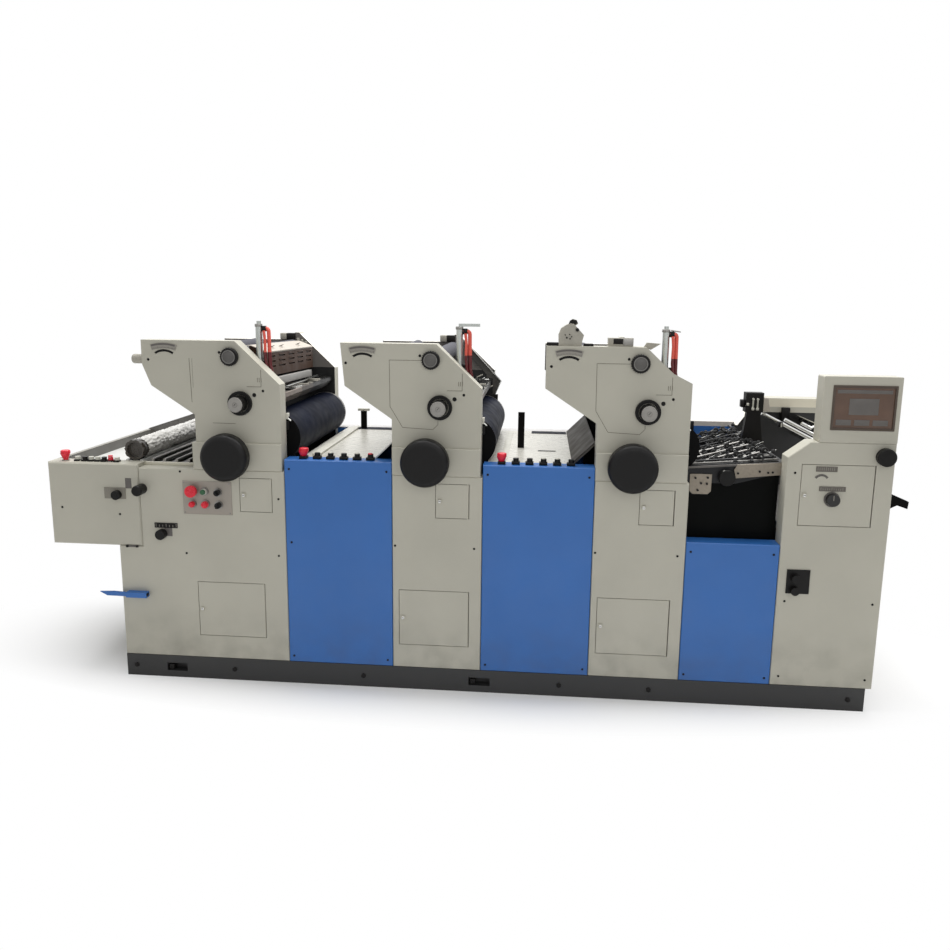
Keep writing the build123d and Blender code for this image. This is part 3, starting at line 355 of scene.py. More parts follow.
def metal(name, base, rough=0.3, stretch=(400.0, 12.0, 400.0), stain=0.35):
    """Ground or drawn metal: fine lines, and stains that darken it."""
    tree, shader = blank(name)
    shader.inputs["Metallic"].default_value = 1.0
    tone = use(tree, "colour_drift", Colour=tuple(base), Other=darker(base, 0.55), Scale=11.0, Amount=stain)
    wire(tree, tone, 0, shader, "Base Color")
    lines = use(tree, "drawn_lines", Stretch=stretch)
    roughness(tree, shader, lines, rough - 0.08, rough + 0.14)
    bump(tree, shader, (lines, 0), 0.12, 0.0004)


def rubber(name, base, rough=0.6):
    """Rubber with ink-stained patches."""
    tree, shader = blank(name)
    shader.inputs["Specular IOR Level"].default_value = 0.2
    tone = use(tree, "colour_drift", Colour=tuple(base), Other=darker(base, 0.45), Scale=16.0, Amount=0.7)
    wire(tree, tone, 0, shader, "Base Color")
    patch = use(tree, "relief", Scale=30.0)
    roughness(tree, shader, patch, rough - 0.2, rough + 0.15)
    grain = use(tree, "relief", Scale=700.0)
    bump(tree, shader, (grain, 0), 0.3, 0.0004)


def make_finishes():
    """Every material of the press."""
    make_groups()
    colours = setting()[0]
    inner = along("Y", -500, INNER_FAR + 0.6)
    # dark is near-black painted shade for faces in shadow; bright is a painted highlight for faces that catch
    # the top light.
    dark, bright = colour(16, 16, 17), colour(236, 233, 224)
    slope = [along("Z", TOWER_TOP - 182, TOWER_TOP - 6), along("Y", INNER_FAR + 0.6, DEPTH - STEP - 1)]
    paint("panel_paint", colours.panel)
    # Far walls: painted highlight on the chamfer top, and painted shade on the inner face, near black below
    # and dark grey near the top.
    paint("far_wall_paint", colours.panel, regions=[
        (bright, slope), (dark, [inner, along("Z", -10, TOWER_TOP - 178)]),
        (colour(112, 108, 104), [inner, along("Z", TOWER_TOP - 178, 3000)])])
    # Far console: painted highlight on the riser's near face and on the slant at its left end, and near-black
    # painted shade on the inner face.
    paint("far_console_paint", colours.panel, regions=[
        (colour(224, 217, 196), [along("Y", INNER_FAR - 21, INNER_FAR - 19), along("Z", 1162, 1204)]),
        (bright, [along("X", CONSOLE_LEFT + 14, CONSOLE_LEFT + 68), along("Y", INNER_FAR + 0.6, DEPTH - 4),
                  along("Z", 1060, 1136)]),
        (dark, [along("Y", INNER_FAR - 1, INNER_FAR + 0.6), along("Z", -10, 1134)])])
    # Delivery: painted shade in dark grey on the far box's inner face, and two grey strips along the end
    # wall's top.
    paint("delivery_paint", colours.panel, regions=[
        (colour(104, 102, 98), [along("Y", INNER_FAR - 2, DEPTH - 6.5), along("Z", 900, 3000)]),
        (colour(96, 94, 90), [along("X", -1028.5, -1020), along("Y", WALL + 0.5, INNER_FAR)]),
        (colour(150, 147, 138), [along("X", -1050, -1026), along("Y", WALL, INNER_FAR),
                                 along("Z", 962, 970)])])
    paint("cream_edge", colour(226, 222, 206), grime=0.1)
    paint("cover_blue", colours.covers, rough=0.38, grime=0.35)
    paint("far_cover_blue", colours.covers, rough=0.38, regions=[
        (colour(205, 200, 194), [along("Z", 1054, 3000)]),
        (colour(200, 198, 196), [along("X", 0, 1300), along("Z", 1001, 1010)])])
    paint("base_black", colours.base, rough=0.55, grime=0.05, reach=0.12, gloss=0.03)
    paint("satin_black", colour(20, 18, 17), rough=0.4, grime=0.0, gloss=0.2)
    # Near-black painted shade on the brackets in the feed opening below the board.
    paint("bracket_black", colour(13, 12, 11), rough=0.4, grime=0.0, gloss=0.06, regions=[
        (colour(5, 6, 5), [along("X", FEED_LEFT, CONSOLE_LEFT), along("Z", 100, 1030)]),
        (colour(84, 82, 79), [along("Z", 1192, 3000)])])
    paint("adjuster_black", colour(18, 17, 16), rough=0.4, grime=0.0, gloss=0.2, regions=[
        (colour(150, 146, 138), [along("Z", 1400, 3000)]), (colour(134, 130, 120), [along("Z", 810, 866)])])
    paint("feed_black", colour(22, 22, 24), rough=0.3, grime=0.0, gloss=0.3)
    paint("panel_brown", colour(78, 74, 62), rough=0.45, grime=0.0, gloss=0.3)
    paint("louvre_brown", colours.louvres, rough=0.45, grime=0.0, gloss=0.2)
    paint("deck_pale", colour(222, 222, 218), rough=0.4, grime=0.0, regions=[
        (colour(80, 78, 76), [along("X", -638, 0)])])
    paint("guard_cream", colour(186, 177, 165), rough=0.4, grime=0.0)
    paint("guard_pale", colour(158, 156, 152), rough=0.4, grime=0.0)
    # Trays: painted shade, dark grey in the middle and near black towards the far side.
    paint("tray_face", colour(120, 110, 102), rough=0.4, grime=0.0, regions=[
        (dark, [along("Y", 560, INNER_FAR)]), (colour(70, 64, 59), [along("Y", 380, 560)])])
    paint("hose_red", colour(224, 92, 76), rough=0.32, grime=0.0, regions=[
        (colour(92, 20, 26), [along("Z", 0, 1448)])])
    # Painted shade for the sheet on the slope up to tower 3.
    paint("slope_dark", colour(56, 52, 46), rough=0.5, grime=0.2, gloss=0.1)
    paint("frame_brown", colour(84, 74, 66), rough=0.45, grime=0.0, gloss=0.2)
    # Painted highlight on a narrow strip at the touch box's left end.
    paint("touch_paint", colours.panel, regions=[
        (bright, [along("X", CONSOLE_LEFT + 110, CONSOLE_LEFT + 117.6)])])
    paint("gasket_dark", colour(120, 116, 105), rough=0.6, grime=0.0, gloss=0.1)
    paint("door_paint", colours.panel, regions=[
        (colour(24, 23, 22), [along("X", CONSOLE_LEFT + 150, CONSOLE_LEFT + 220), along("Y", -40, -3.2),
                              along("Z", 875, 934)]),
        (colour(96, 91, 84), [along("X", CONSOLE_LEFT + 112, CONSOLE_LEFT + 236), along("Y", -3.4, -0.2)])])
    plastic("knob_black", colours.knobs, rough=0.34, gloss=0.2)
    plastic("wheel_black", colour(10, 9, 9), rough=0.42, drift=0.2, gloss=0.25)
    for name, base, rough in (
            ("stop_red", colours.stops, 0.28),
            ("go_green", colour(40, 92, 56), 0.3),
            ("cap_white", colour(206, 204, 192), 0.35),
            ("dial_grey", colour(118, 116, 112), 0.35),
            ("lock_grey", colour(84, 82, 79), 0.4),
            ("dial_pale", colour(150, 147, 141), 0.35),
            ("mark_white", colour(140, 136, 126), 0.5),
            ("seam_dark", colour(118, 114, 102), 0.7),
            ("label_grey", colour(96, 92, 88), 0.45),
            ("fitting_beige", colour(168, 164, 152), 0.45)):
        plastic(name, base, rough)
    rubber("roller_rubber", colour(24, 24, 27), rough=0.4)
    rubber("wheel_rubber", colour(14, 14, 14), rough=0.5)
    metal("bright_steel", colour(210, 210, 206), rough=0.22)
    metal("dull_steel", colour(150, 148, 144), rough=0.38)
    metal("cast_plate", colour(142, 134, 122), rough=0.5, stretch=(90, 90, 90))
    metal("tube_aluminium", colour(190, 194, 190), rough=0.3, stretch=(400, 400, 10))
    metal("chrome_bar", colour(232, 232, 230), rough=0.12)
    plate_finish()
    film_finish()
    sheet_finish()
    screen_finish()


def plate_finish():
    """Inked plate: mottled blue-black, with a black near end."""
    tree, shader = blank("plate_navy")
    tone = use(tree, "colour_drift", Colour=colour(11, 17, 34), Other=colour(5, 6, 10), Scale=5.0, Amount=0.6)
    last = with_regions(tree, (tone, "Colour"), [(colour(8, 8, 8), [along("Y", -100, INNER_NEAR + 12)])])
    wire(tree, last[0], last[1], shader, "Base Color")
    wear = use(tree, "relief", Scale=18.0)
    roughness(tree, shader, wear, 0.46, 0.6)
    shader.inputs["Specular IOR Level"].default_value = 0.07


def film_finish():
    """Thin silver-white film with creases along the roll, painted shade along the creases, and a dark end."""
    tree, shader = blank("wrap_film")
    tone = use(tree, "colour_drift", Colour=colour(246, 244, 238), Other=colour(214, 211, 204), Scale=30.0,
               Amount=0.8)
    lines = use(tree, "drawn_lines", Stretch=(150.0, 7.0, 150.0))
    # Painted shade: the colour darkens along the creases.
    crease = remap(tree, (lines, 0), 0.58, 0.74)
    painted_crease_shade = mix_colour(tree, (crease, 0), (tone, "Colour"), colour(150, 145, 136))
    last = with_regions(tree, (painted_crease_shade, 2), [(colour(58, 52, 44), [along("Y", -200, INNER_NEAR + 52)])])
    wire(tree, last[0], last[1], shader, "Base Color")
    roughness(tree, shader, lines, 0.2, 0.45)
    shader.inputs["Coat Weight"].default_value = 0.4
    bump(tree, shader, (lines, 0), 0.7, 0.005)


def sheet_finish():
    """Pale table sheet: a painted highlight makes the slope up to tower 2 brighter, and painted shade makes
    the one up to tower 3 dark.
    """
    tree, shader = blank("table_sheet")
    bright = colour(240, 238, 230)
    tone = use(tree, "colour_drift", Colour=colour(214, 212, 202), Other=colour(190, 186, 176), Scale=4.0,
               Amount=0.6)
    # Painted shade on the slope up to tower 3, and a painted highlight on the slope up to tower 2.
    last = with_regions(tree, (tone, "Colour"), [
        (colour(72, 67, 61), [along("X", tower(3) - 471, tower(3) - 300)]),
        (bright, [along("X", tower(2) - 471, tower(2) - 300)])])
    wire(tree, last[0], last[1], shader, "Base Color")
    lines = use(tree, "drawn_lines", Stretch=(30.0, 300.0, 30.0))
    roughness(tree, shader, lines, 0.2, 0.4)
    shader.inputs["Metallic"].default_value = 0.15
    bump(tree, shader, (lines, 0), 0.08, 0.0004)


def screen_finish():
    """Switched-off display behind glass."""
    tree, shader = blank("display_glass")
    tone = use(tree, "colour_drift", Colour=colour(100, 74, 58), Other=colour(76, 57, 44), Scale=9.0,
               Amount=0.6)
    wire(tree, tone, 0, shader, "Base Color")
    smear = use(tree, "relief", Scale=20.0)
    roughness(tree, shader, smear, 0.12, 0.26)
    shader.inputs["Coat Weight"].default_value = 0.8


# Shapes, in millimetres until they are placed

def mark(bm, old_faces, index):
    for face in bm.faces:
        if face not in old_faces:
            face.material_index = index


def around(count):
    """Cosine and sine of each of count even steps around a circle."""
    return [(math.cos(a), math.sin(a)) for a in (2 * math.pi * k / count for k in range(count))]


def edges_of(groups):
    """Each edge of some groups of edges, once."""
    return list(dict.fromkeys(e for group in groups for e in group))


def soften(bm, edges, offset, segments=2):
    """Rounds edges, with the materials of the faces beside them."""
    bmesh.ops.bevel(bm, geom=edges, offset=offset, segments=segments, profile=0.5, affect="EDGES",
                    material=-1)


def box(bm, x0, x1, y0, y1, z0, z1, edge=0.0, mat=0):
    """Block between two corners with rounded edges."""
    old = set(bm.faces)
    middle = Vector((x0 + x1, y0 + y1, z0 + z1)) / 2
    size = Matrix.Diagonal((x1 - x0, y1 - y0, z1 - z0, 1.0))
    made = bmesh.ops.create_cube(bm, size=1.0, matrix=Matrix.Translation(middle) @ size)
    if edge:
        edges = edges_of(v.link_edges for v in made["verts"])
        soften(bm, edges, edge)
    mark(bm, old, mat)


def rod(bm, start, end, radius, radius_end=None, sides=20, edge=0.0, mat=0):
    """Round bar, cone or disc between two places."""
    old = set(bm.faces)
    start, end = Vector(start), Vector(end)
    along = end - start
    turn = along.to_track_quat("Z", "Y").to_matrix().to_4x4()
    made = bmesh.ops.create_cone(bm, cap_ends=True, segments=sides, radius1=radius,
                                 radius2=radius if radius_end is None else radius_end, depth=along.length,
                                 matrix=Matrix.Translation((start + end) / 2) @ turn)
    if edge:
        rims = [e for e in edges_of(v.link_edges for v in made["verts"])
                if len(e.link_faces) == 2 and any(len(f.verts) > 4 for f in e.link_faces)]
        soften(bm, rims, edge)
    mark(bm, old, mat)


def ring(bm, centre, axis, inner, outer, thick, sides=32, mat=0):
    """Flat ring: a small rectangle spun about an axis."""
    old = set(bm.faces)
    centre, axis = Vector(centre), Vector(axis).normalized()
    side = axis.orthogonal().normalized()
    corners = [centre + side * r + axis * t for r, t in ((inner, 0), (outer, 0), (outer, thick),
                                                         (inner, thick))]
    verts = [bm.verts.new(c) for c in corners]
    edges = [bm.edges.new((verts[k], verts[(k + 1) % 4])) for k in range(4)]
    bmesh.ops.spin(bm, geom=verts + edges, cent=centre, axis=axis, angle=2 * math.pi, steps=sides,
                   use_merge=True, use_duplicate=False)
    new = [f for f in bm.faces if f not in old]
    bmesh.ops.recalc_face_normals(bm, faces=new)
    mark(bm, old, mat)


def ball(bm, centre, radius, flat=1.0, mat=0):
    """Ball, flattened along Z where flat is under 1."""
    old = set(bm.faces)
    bmesh.ops.create_uvsphere(bm, u_segments=20, v_segments=12, radius=radius,
                              matrix=Matrix.Translation(centre) @ Matrix.Diagonal((1, 1, flat, 1)))
    mark(bm, old, mat)


def plate(bm, outline, y0, y1, edge=0.0, mat=0):
    """Plate with an outline in X and Z, from depth y0 to y1."""
    old = set(bm.faces)
    verts = [bm.verts.new((x, y0, z)) for x, z in outline]
    face = bm.faces.new(verts)
    grown = bmesh.ops.extrude_face_region(bm, geom=[face])
    back = [g for g in grown["geom"] if isinstance(g, bmesh.types.BMVert)]
    bmesh.ops.translate(bm, vec=(0, y1 - y0, 0), verts=back)
    new = [f for f in bm.faces if f not in old]
    bmesh.ops.recalc_face_normals(bm, faces=new)
    if edge:
        edges = edges_of(f.edges for f in new)
        soften(bm, edges, edge, segments=1)
    mark(bm, old, mat)


def bar(bm, a, b, wide, thick, mat=0, edge=0.0):
    """Flat bar from a to b: wide across Y, thick across its run."""
    old = set(bm.faces)
    a, b = Vector(a), Vector(b)
    run = (b - a).normalized()
    across = Vector((0, 1, 0)) if abs(run.y) < 0.9 else Vector((1, 0, 0))
    up = run.cross(across).normalized()
    across = up.cross(run).normalized()
    turn = Matrix((run, across, up)).transposed().to_4x4()
    size = Matrix.Diagonal(((b - a).length, wide, thick, 1.0))
    made = bmesh.ops.create_cube(bm, size=1.0, matrix=Matrix.Translation((a + b) / 2) @ turn @ size)
    if edge:
        edges = edges_of(v.link_edges for v in made["verts"])
        soften(bm, edges, edge)
    mark(bm, old, mat)


def seam(bm, places, y, width, proud=0.5, mat=0):
    """Thin drawn line on a wall that faces the operator."""
    for a, b in zip(places, places[1:]):
        bar(bm, (a[0], y - proud / 2 + 0.1, a[1]), (b[0], y - proud / 2 + 0.1, b[1]), proud, width, mat=mat)


def piece(name, bm, finishes, body="press", smooth=True):
    """Places a finished shape in the frame, with its materials, and sets what carries it."""
    for vert in bm.verts:
        vert.co = at(*vert.co)
    for face in bm.faces:
        face.smooth = smooth
    for edge in bm.edges:
        edge.smooth = len(edge.link_faces) == 2 and edge.calc_face_angle(0.0) < SMOOTH_ANGLE
    mesh = bpy.data.meshes.new(name)
    bm.to_mesh(mesh)
    bm.free()
    obj = bpy.data.objects.new(name, mesh)
    bpy.context.collection.objects.link(obj)
    for finish in finishes:
        mesh.materials.append(bpy.data.materials[finish])
    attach(obj, body)
    return obj


def dress(node, finish):
    """Gives a frame node its finish."""
    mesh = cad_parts[node].data
    mesh.materials.clear()
    mesh.materials.append(bpy.data.materials[finish])


# Nodes of the frame by the finish that they get
FINISHES = {
    "base_black": "base_plinth",
    "cover_blue": "near_covers pile_bracket",
    "far_cover_blue": "far_covers",
    "delivery_paint": "delivery_boxes",
    "deck_pale": "delivery_deck",
    "wrap_film": "wrapped_roll",
    "panel_paint": "end_panels near_console",
    "panel_brown": "control_panel",
    "knob_black": "slide_knob stop_knob tower_knob black_buttons side_knob console_knob",
    "stop_red": "red_buttons",
    "cap_white": "pale_buttons",
    "adjuster_black": "adjusters",
    "roller_rubber": "ink_rollers",
    "louvre_brown": "louvre_guard",
    "tray_face": "trays",
    "table_sheet": "tables",
    "feed_black": "feed_board",
    "chrome_bar": "feed_rods",
    "wheel_rubber": "feed_wheels",
    "far_console_paint": "far_console",
    "door_paint": "console_door",
    "dull_steel": "pile_board",
    "satin_black": "feeder_head",
    "touch_paint": "touch_box",
    "display_glass": "touch_screen",
    "tube_aluminium": "air_cylinders",
    "hose_red": "air_hoses",
    "fitting_beige": "top_fittings",
    "bracket_black": "black_brackets",
}
# The same for the nodes that each tower has
TOWER_FINISHES = {
    "panel_paint": "near_side lower_hatch upper_hatch",
    "far_wall_paint": "far_side",
    "wheel_black": "handwheel",
    "plate_navy": "plate_cylinder",
    "knob_black": "lock_knob dial_knob",
}


# Operators

class PRESS_OT_finishes(bpy.types.Operator):
    """Make the materials and give the frame's own pieces theirs"""
    bl_idname = "press.finishes"
    bl_label = "Finishes"

    def execute(self, context):
        make_finishes()
        plain = {node: finish for finish, nodes in FINISHES.items() for node in nodes.split()}
        plain.update({f"{node}_{n}": finish for finish, nodes in TOWER_FINISHES.items()
                      for node in nodes.split() for n in TOWERS})
        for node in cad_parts:
            dress(node, plain.get(node, "satin_black"))
        return {"FINISHED"}


class PRESS_OT_stage(bpy.types.Operator):
    """Make the camera, the lamps and the floor"""
    bl_idname = "press.stage"
    bl_label = "Stage"

    def execute(self, context):
        studio = setting()[2]
        scene = context.scene
        lens = bpy.data.cameras.new("photo_camera")
        lens.sensor_width = 36.0
        lens.lens = studio.lens
        lens.shift_x = 0.00417
        lens.shift_y = -0.0292
        camera = bpy.data.objects.new("photo_camera", lens)
        scene.collection.objects.link(camera)
        yaw, pitch, roll = (math.radians(v) for v in (-4.82, 10.27, 0.63))
        ahead = Vector((math.sin(yaw), math.cos(yaw), 0))
        aside = Vector((math.cos(yaw), -math.sin(yaw), 0))
        forward = math.cos(pitch) * ahead - math.sin(pitch) * UP
        lift = math.sin(pitch) * ahead + math.cos(pitch) * UP
        right = math.cos(roll) * aside + math.sin(roll) * lift
        top = -math.sin(roll) * aside + math.cos(roll) * lift
        turn = Matrix((right, top, -forward)).transposed().to_4x4()
        camera.matrix_world = Matrix.Translation(at(1068.28, -3283.67, 1675.83)) @ turn
        scene.camera = camera

        self.lamp(scene, "top_lamp", (0.2, 0.6, 4.6), (5.5, 3.2), studio.top_light, (0.2, 0.0, 0.6))
        self.lamp(scene, "fill_lamp", (1.2, -5.2, 3.4), (4.0, 2.4), studio.fill_light, (0.0, 0.0, 0.7))
        self.lamp(scene, "side_lamp", (5.4, -0.8, 2.8), (2.4, 2.0), studio.fill_light * 0.35,
                  (0.0, 0.0, 0.8))
        world = bpy.data.worlds.new("studio")
        scene.world = world
        world.use_nodes = True
        tree = world.node_tree
        tree.nodes.clear()
        rays = tree.nodes.new("ShaderNodeLightPath")
        seen = math_node(tree, "MAXIMUM", (rays, "Is Camera Ray"), (rays, "Is Glossy Ray"))
        seen = math_node(tree, "MAXIMUM", (seen, 0), (rays, "Is Transmission Ray"))
        strength = remap(tree, (seen, 0), 0.0, 1.0, studio.sky, 1.0)
        sky = tree.nodes.new("ShaderNodeBackground")
        sky.inputs[0].default_value = (1.0, 1.0, 1.0, 1.0)
        wire(tree, strength, 0, sky, 1)
        end = tree.nodes.new("ShaderNodeOutputWorld")
        wire(tree, sky, 0, end, 0)

        bm = bmesh.new()
        bmesh.ops.create_grid(bm, x_segments=1, y_segments=1, size=30.0)
        mesh = bpy.data.meshes.new("studio_floor")
        bm.to_mesh(mesh)
        bm.free()
        floor = bpy.data.objects.new("studio_floor", mesh)
        scene.collection.objects.link(floor)
        self.floor_finish()
        mat = bpy.data.materials["floor_white"]
        mesh.materials.append(mat)
        scene.view_settings.view_transform = "Standard"
        return {"FINISHED"}

    def floor_finish(self):
        """White floor that fades into the white surroundings away from the press."""
        tree, shader = blank("floor_white")
        shader.inputs["Base Color"].default_value = (0.95, 0.95, 0.95, 1.0)
        shader.inputs["Roughness"].default_value = 0.9
        place = tree.nodes.new("ShaderNodeTexCoord")
        stretched = tree.nodes.new("ShaderNodeVectorMath")
        stretched.operation = "MULTIPLY"
        stretched.inputs[1].default_value = (0.3, 1.0, 1.0)
        wire(tree, place, "Object", stretched, 0)
        away = tree.nodes.new("ShaderNodeVectorMath")
        away.operation = "LENGTH"
        wire(tree, stretched, 0, away, 0)
        far = remap(tree, (away, "Value"), 0.52, 0.8)
        rays = tree.nodes.new("ShaderNodeLightPath")
        share = math_node(tree, "MULTIPLY", (far, 0), (rays, "Is Camera Ray"), clamp=True)
        glow = tree.nodes.new("ShaderNodeEmission")
        glow.inputs[0].default_value = (1.0, 1.0, 1.0, 1.0)
        mixed = tree.nodes.new("ShaderNodeMixShader")
        wire(tree, share, 0, mixed, 0)
        wire(tree, shader, 0, mixed, 1)
        wire(tree, glow, 0, mixed, 2)
        end = next(n for n in tree.nodes if n.type == "OUTPUT_MATERIAL")
        wire(tree, mixed, 0, end, 0)

    def lamp(self, scene, name, place, size, power, target):
        data = bpy.data.lights.new(name, "AREA")
        data.shape = "RECTANGLE"
        data.size, data.size_y = size
        data.energy = power
        lamp = bpy.data.objects.new(name, data)
        scene.collection.objects.link(lamp)
        way = Vector(target) - Vector(place)
        lamp.matrix_world = Matrix.Translation(place) @ way.to_track_quat("-Z", "Y").to_matrix().to_4x4()


class PRESS_OT_panel_trim(bpy.types.Operator):
    """Screws and drawn cover seams of the operator side"""
    bl_idname = "press.panel_trim"
    bl_label = "Panel screws and seams"

    def execute(self, context):
        sizes = setting()[1]
        head = sizes.screw / MM
        bm = bmesh.new()
        screws = [(-733, 744), (-454, 941), (-993, 767), (25, 645), (-443, 579), (-33, 582), (-27, 833)]
        for right in (tower(2), tower(3)):
            screws += [(right - 367, 647), (right - 31, 645)]
        for left, end, top in ((0, 460, 1005), (840, 1300, 1005), (1680, 2056, 706)):
            screws += [(left + 22, 128), (end - 22, 128), (left + 22, top - 40), (end - 22, top - 40)]
        screws += [(2091, 1009), (2091, 470), (2440, 470), (2091, 140), (2440, 140)]
        for x, z in screws:
            rod(bm, (x, 1.0, z), (x, -1.8, z), head, head * 0.8, sides=14)
            box(bm, x - head * 0.6, x + head * 0.6, -2.1, -1.7, z - 0.8, z + 0.8)
        piece("panel_screws", bm, ["knob_black"])

        bm = bmesh.new()
        width = sizes.seam / MM
        seam(bm, [(-392, 1424), (-388, 1239)], STEP, width)
        seam(bm, [(-380, 1424), (-380, 1300)], STEP, width * 0.5)
        seam(bm, [(-302, 1153), (-204, 1152)], STEP, width)
        for n in TOWERS:
            right = tower(n)
            outline = [(-258, 1430), (-388, 1430), (-386, 1239), (-334, 1153), (-208, 1147), (-187, 1168),
                       (-187, 1184)]
            if n > 1:
                seam(bm, [(right + x, z) for x, z in outline], STEP, width)
            seam(bm, [(right - 150, 1309), (right - 88, 1309), (right - 88, 1380)], STEP, width)
            for k in range(3):
                x = right - 103 + 8 * k
                bar(bm, (x, STEP - 0.4, 1328), (x, STEP - 0.4, 1346), 1.2, 2.0)
        piece("cover_seams", bm, ["seam_dark"])
        return {"FINISHED"}


class PRESS_OT_doors(bpy.types.Operator):
    """Slotted locks and gaskets of the hatches, and the feeder door's marks"""
    bl_idname = "press.doors"
    bl_label = "Hatch locks"

    def execute(self, context):
        for n in TOWERS:
            self.lock(f"lower_hatch_{n}", f"lower_door_{n}", f"lower_lock_{n}")
            self.lock(f"upper_hatch_{n}", f"upper_door_{n}", f"upper_lock_{n}")
        self.lock("console_door", "feeder_door", "console_lock")
        bm = bmesh.new()
        x = CONSOLE_LEFT
        for k in range(9):
            box(bm, x + 120 + 8 * k, x + 122 + 8 * k, -3.6, -2.9, 1022, 1034 if k % 4 else 1037)
        for k in range(11):
            box(bm, x + 138 + 8.5 * k, x + 140 + 8.5 * k, -3.6, -2.9, 942, 950 if k % 5 else 954)
        bar(bm, (x + 185, -24.4, 905), (x + 185, -24.4, 925), 1.0, 3.0)
        piece("console_door_marks", bm, ["mark_white"], body="feeder_door")
        bm = bmesh.new()
        arc = [(139 + 28 * math.cos(a), 975 + 28 * math.sin(a)) for a in
               (math.radians(v) for v in range(35, 150, 14))]
        seam(bm, [(x + u, z) for u, z in arc], 0.0, 9.0, proud=1.4)
        ring(bm, (x + 185, -4.0, 905), (0, 1, 0), 25.2, 31, 4.2, sides=40)
        piece("console_door_plates", bm, ["label_grey"], body="feeder_door")
        return {"FINISHED"}

    def lock(self, node, body, name):
        low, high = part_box(node)
        corner = (low - CORNER) / MM
        far = (high - CORNER) / MM
        z = (corner.z + far.z) / 2
        x = corner.x + 16
        bm = bmesh.new()
        a, b, low, high = corner.x - 2.4, far.x - 1.0, corner.z + 10.1, far.z - 10.1
        for x0, x1, z0, z1 in ((a, corner.x, low, high), (a, b, low, low + 2.3), (a, b, high - 2.3, high)):
            box(bm, x0, x1, 4.0, 7.0, z0, z1, mat=2)
        rod(bm, (x, -5.0, z), (x, -7.5, z), 6.5, sides=18, edge=0.8)
        box(bm, x - 4.5, x + 4.5, -7.9, -7.3, z - 0.8, z + 0.8, mat=1)
        piece(name, bm, ["bright_steel", "knob_black", "gasket_dark"], body=body)


class PRESS_OT_handwheels(bpy.types.Operator):
    """Back flanges of the handwheels"""
    bl_idname = "press.handwheels"
    bl_label = "Handwheels"

    def execute(self, context):
        for n in TOWERS:
            x, z = tower(n) + WHEEL[0], WHEEL[1]
            bm = bmesh.new()
            ring(bm, (x, -33.0, z), (0, 1, 0), 60, 98, 5.0, sides=64)
            piece(f"handwheel_trim_{n}", bm, ["wheel_black"], body=f"wheel_{n}")
        return {"FINISHED"}


class PRESS_OT_dials(bpy.types.Operator):
    """Faces and marks of the tower knobs"""
    bl_idname = "press.dials"
    bl_label = "Tower knobs"

    def execute(self, context):
        for n in TOWERS:
            x, z = tower(n) + LOCK[0], LOCK[1]
            front = STEP - 1 - 16
            bm = bmesh.new()
            ring(bm, (x, front - 1.6, z), (0, 1, 0), 24, 28, 3.0, sides=36, mat=1)
            rod(bm, (x, front + 0.5, z), (x, front - 1.0, z), 24.5, 22.0, sides=36, mat=0)
            ball(bm, (x, front + 2, z), 3.2, mat=1)
            for u, w in around(24):
                rod(bm, (x + 37 * u, front + 14, z + 37 * w), (x + 37 * u, front + 4, z + 37 * w), 1.7,
                    sides=8, mat=2)
            piece(f"lock_face_{n}", bm, ["lock_grey", "dial_grey", "knob_black"], body=f"lock_{n}")
            x, z = tower(n) + DIAL[0], DIAL[1]
            front = STEP - 1 - 60
            bm = bmesh.new()
            rod(bm, (x, front + 1, z), (x, front - 2.2, z), 31.5, 30.5, sides=40, edge=0.6)
            ring(bm, (x, front - 2.8, z), (0, 1, 0), 9, 10.5, 1.0, sides=28, mat=2)
            for k, (u, w) in enumerate(around(24)):
                reach = 26 if k % 6 else 23
                bar(bm, (x + reach * u, front - 2.4, z + reach * w), (x + 29 * u, front - 2.4, z + 29 * w),
                    0.6, 0.9, mat=2)
            bar(bm, (x - 4, front - 2.6, z - 3), (x + 4, front - 2.6, z + 6), 1.0, 1.8, mat=1)
            for u, w in around(30):
                rod(bm, (x + 33 * u, front + 50, z + 33 * w), (x + 33 * u, front + 5, z + 33 * w), 1.3,
                    sides=8, mat=1)
            piece(f"dial_face_{n}", bm, ["dial_pale", "knob_black", "dial_grey"], body=f"dial_{n}")
        bm = bmesh.new()
        for n in TOWERS:
            self.scale(bm, tower(n) - 500, TOWER_TOP - 201)
        piece("scale_marks", bm, ["label_grey"])
        bm = bmesh.new()
        for n in TOWERS:
            places = [(tower(n) - 500 + 70 * math.sin(a), TOWER_TOP - 113 + 70 * math.cos(a)) for a in
                      (math.radians(v) for v in range(-33, 34, 6))]
            seam(bm, places, STEP + 4.5, 9.6, proud=0.8)
            for x, z, r in ((-570, 1415, 6), (-263, 1449, 6), (-120, 1274, 9), (-82, 1292, 6)):
                rod(bm, (tower(n) + x, 18, z), (tower(n) + x, 10, z), r - 0.2, sides=18)
        piece("slot_floors", bm, ["knob_black"])
        return {"FINISHED"}

    def scale(self, bm, x, z):
        """Dark band and ticks of a curved scale with its centre at x, z."""
        def spot(radius, degrees):
            a = math.radians(degrees)
            return x + radius * math.sin(a), z + radius * math.cos(a)
        band = [spot(184.5, v) for v in range(-16, 17, 4)]
        seam(bm, band, STEP - 3.0, 7.0, proud=0.8)
        for k in range(-8, 9):
            seam(bm, [spot(168, k * 2), spot(173 if k % 4 else 176, k * 2)], STEP - 3.0, 1.0, proud=0.7)


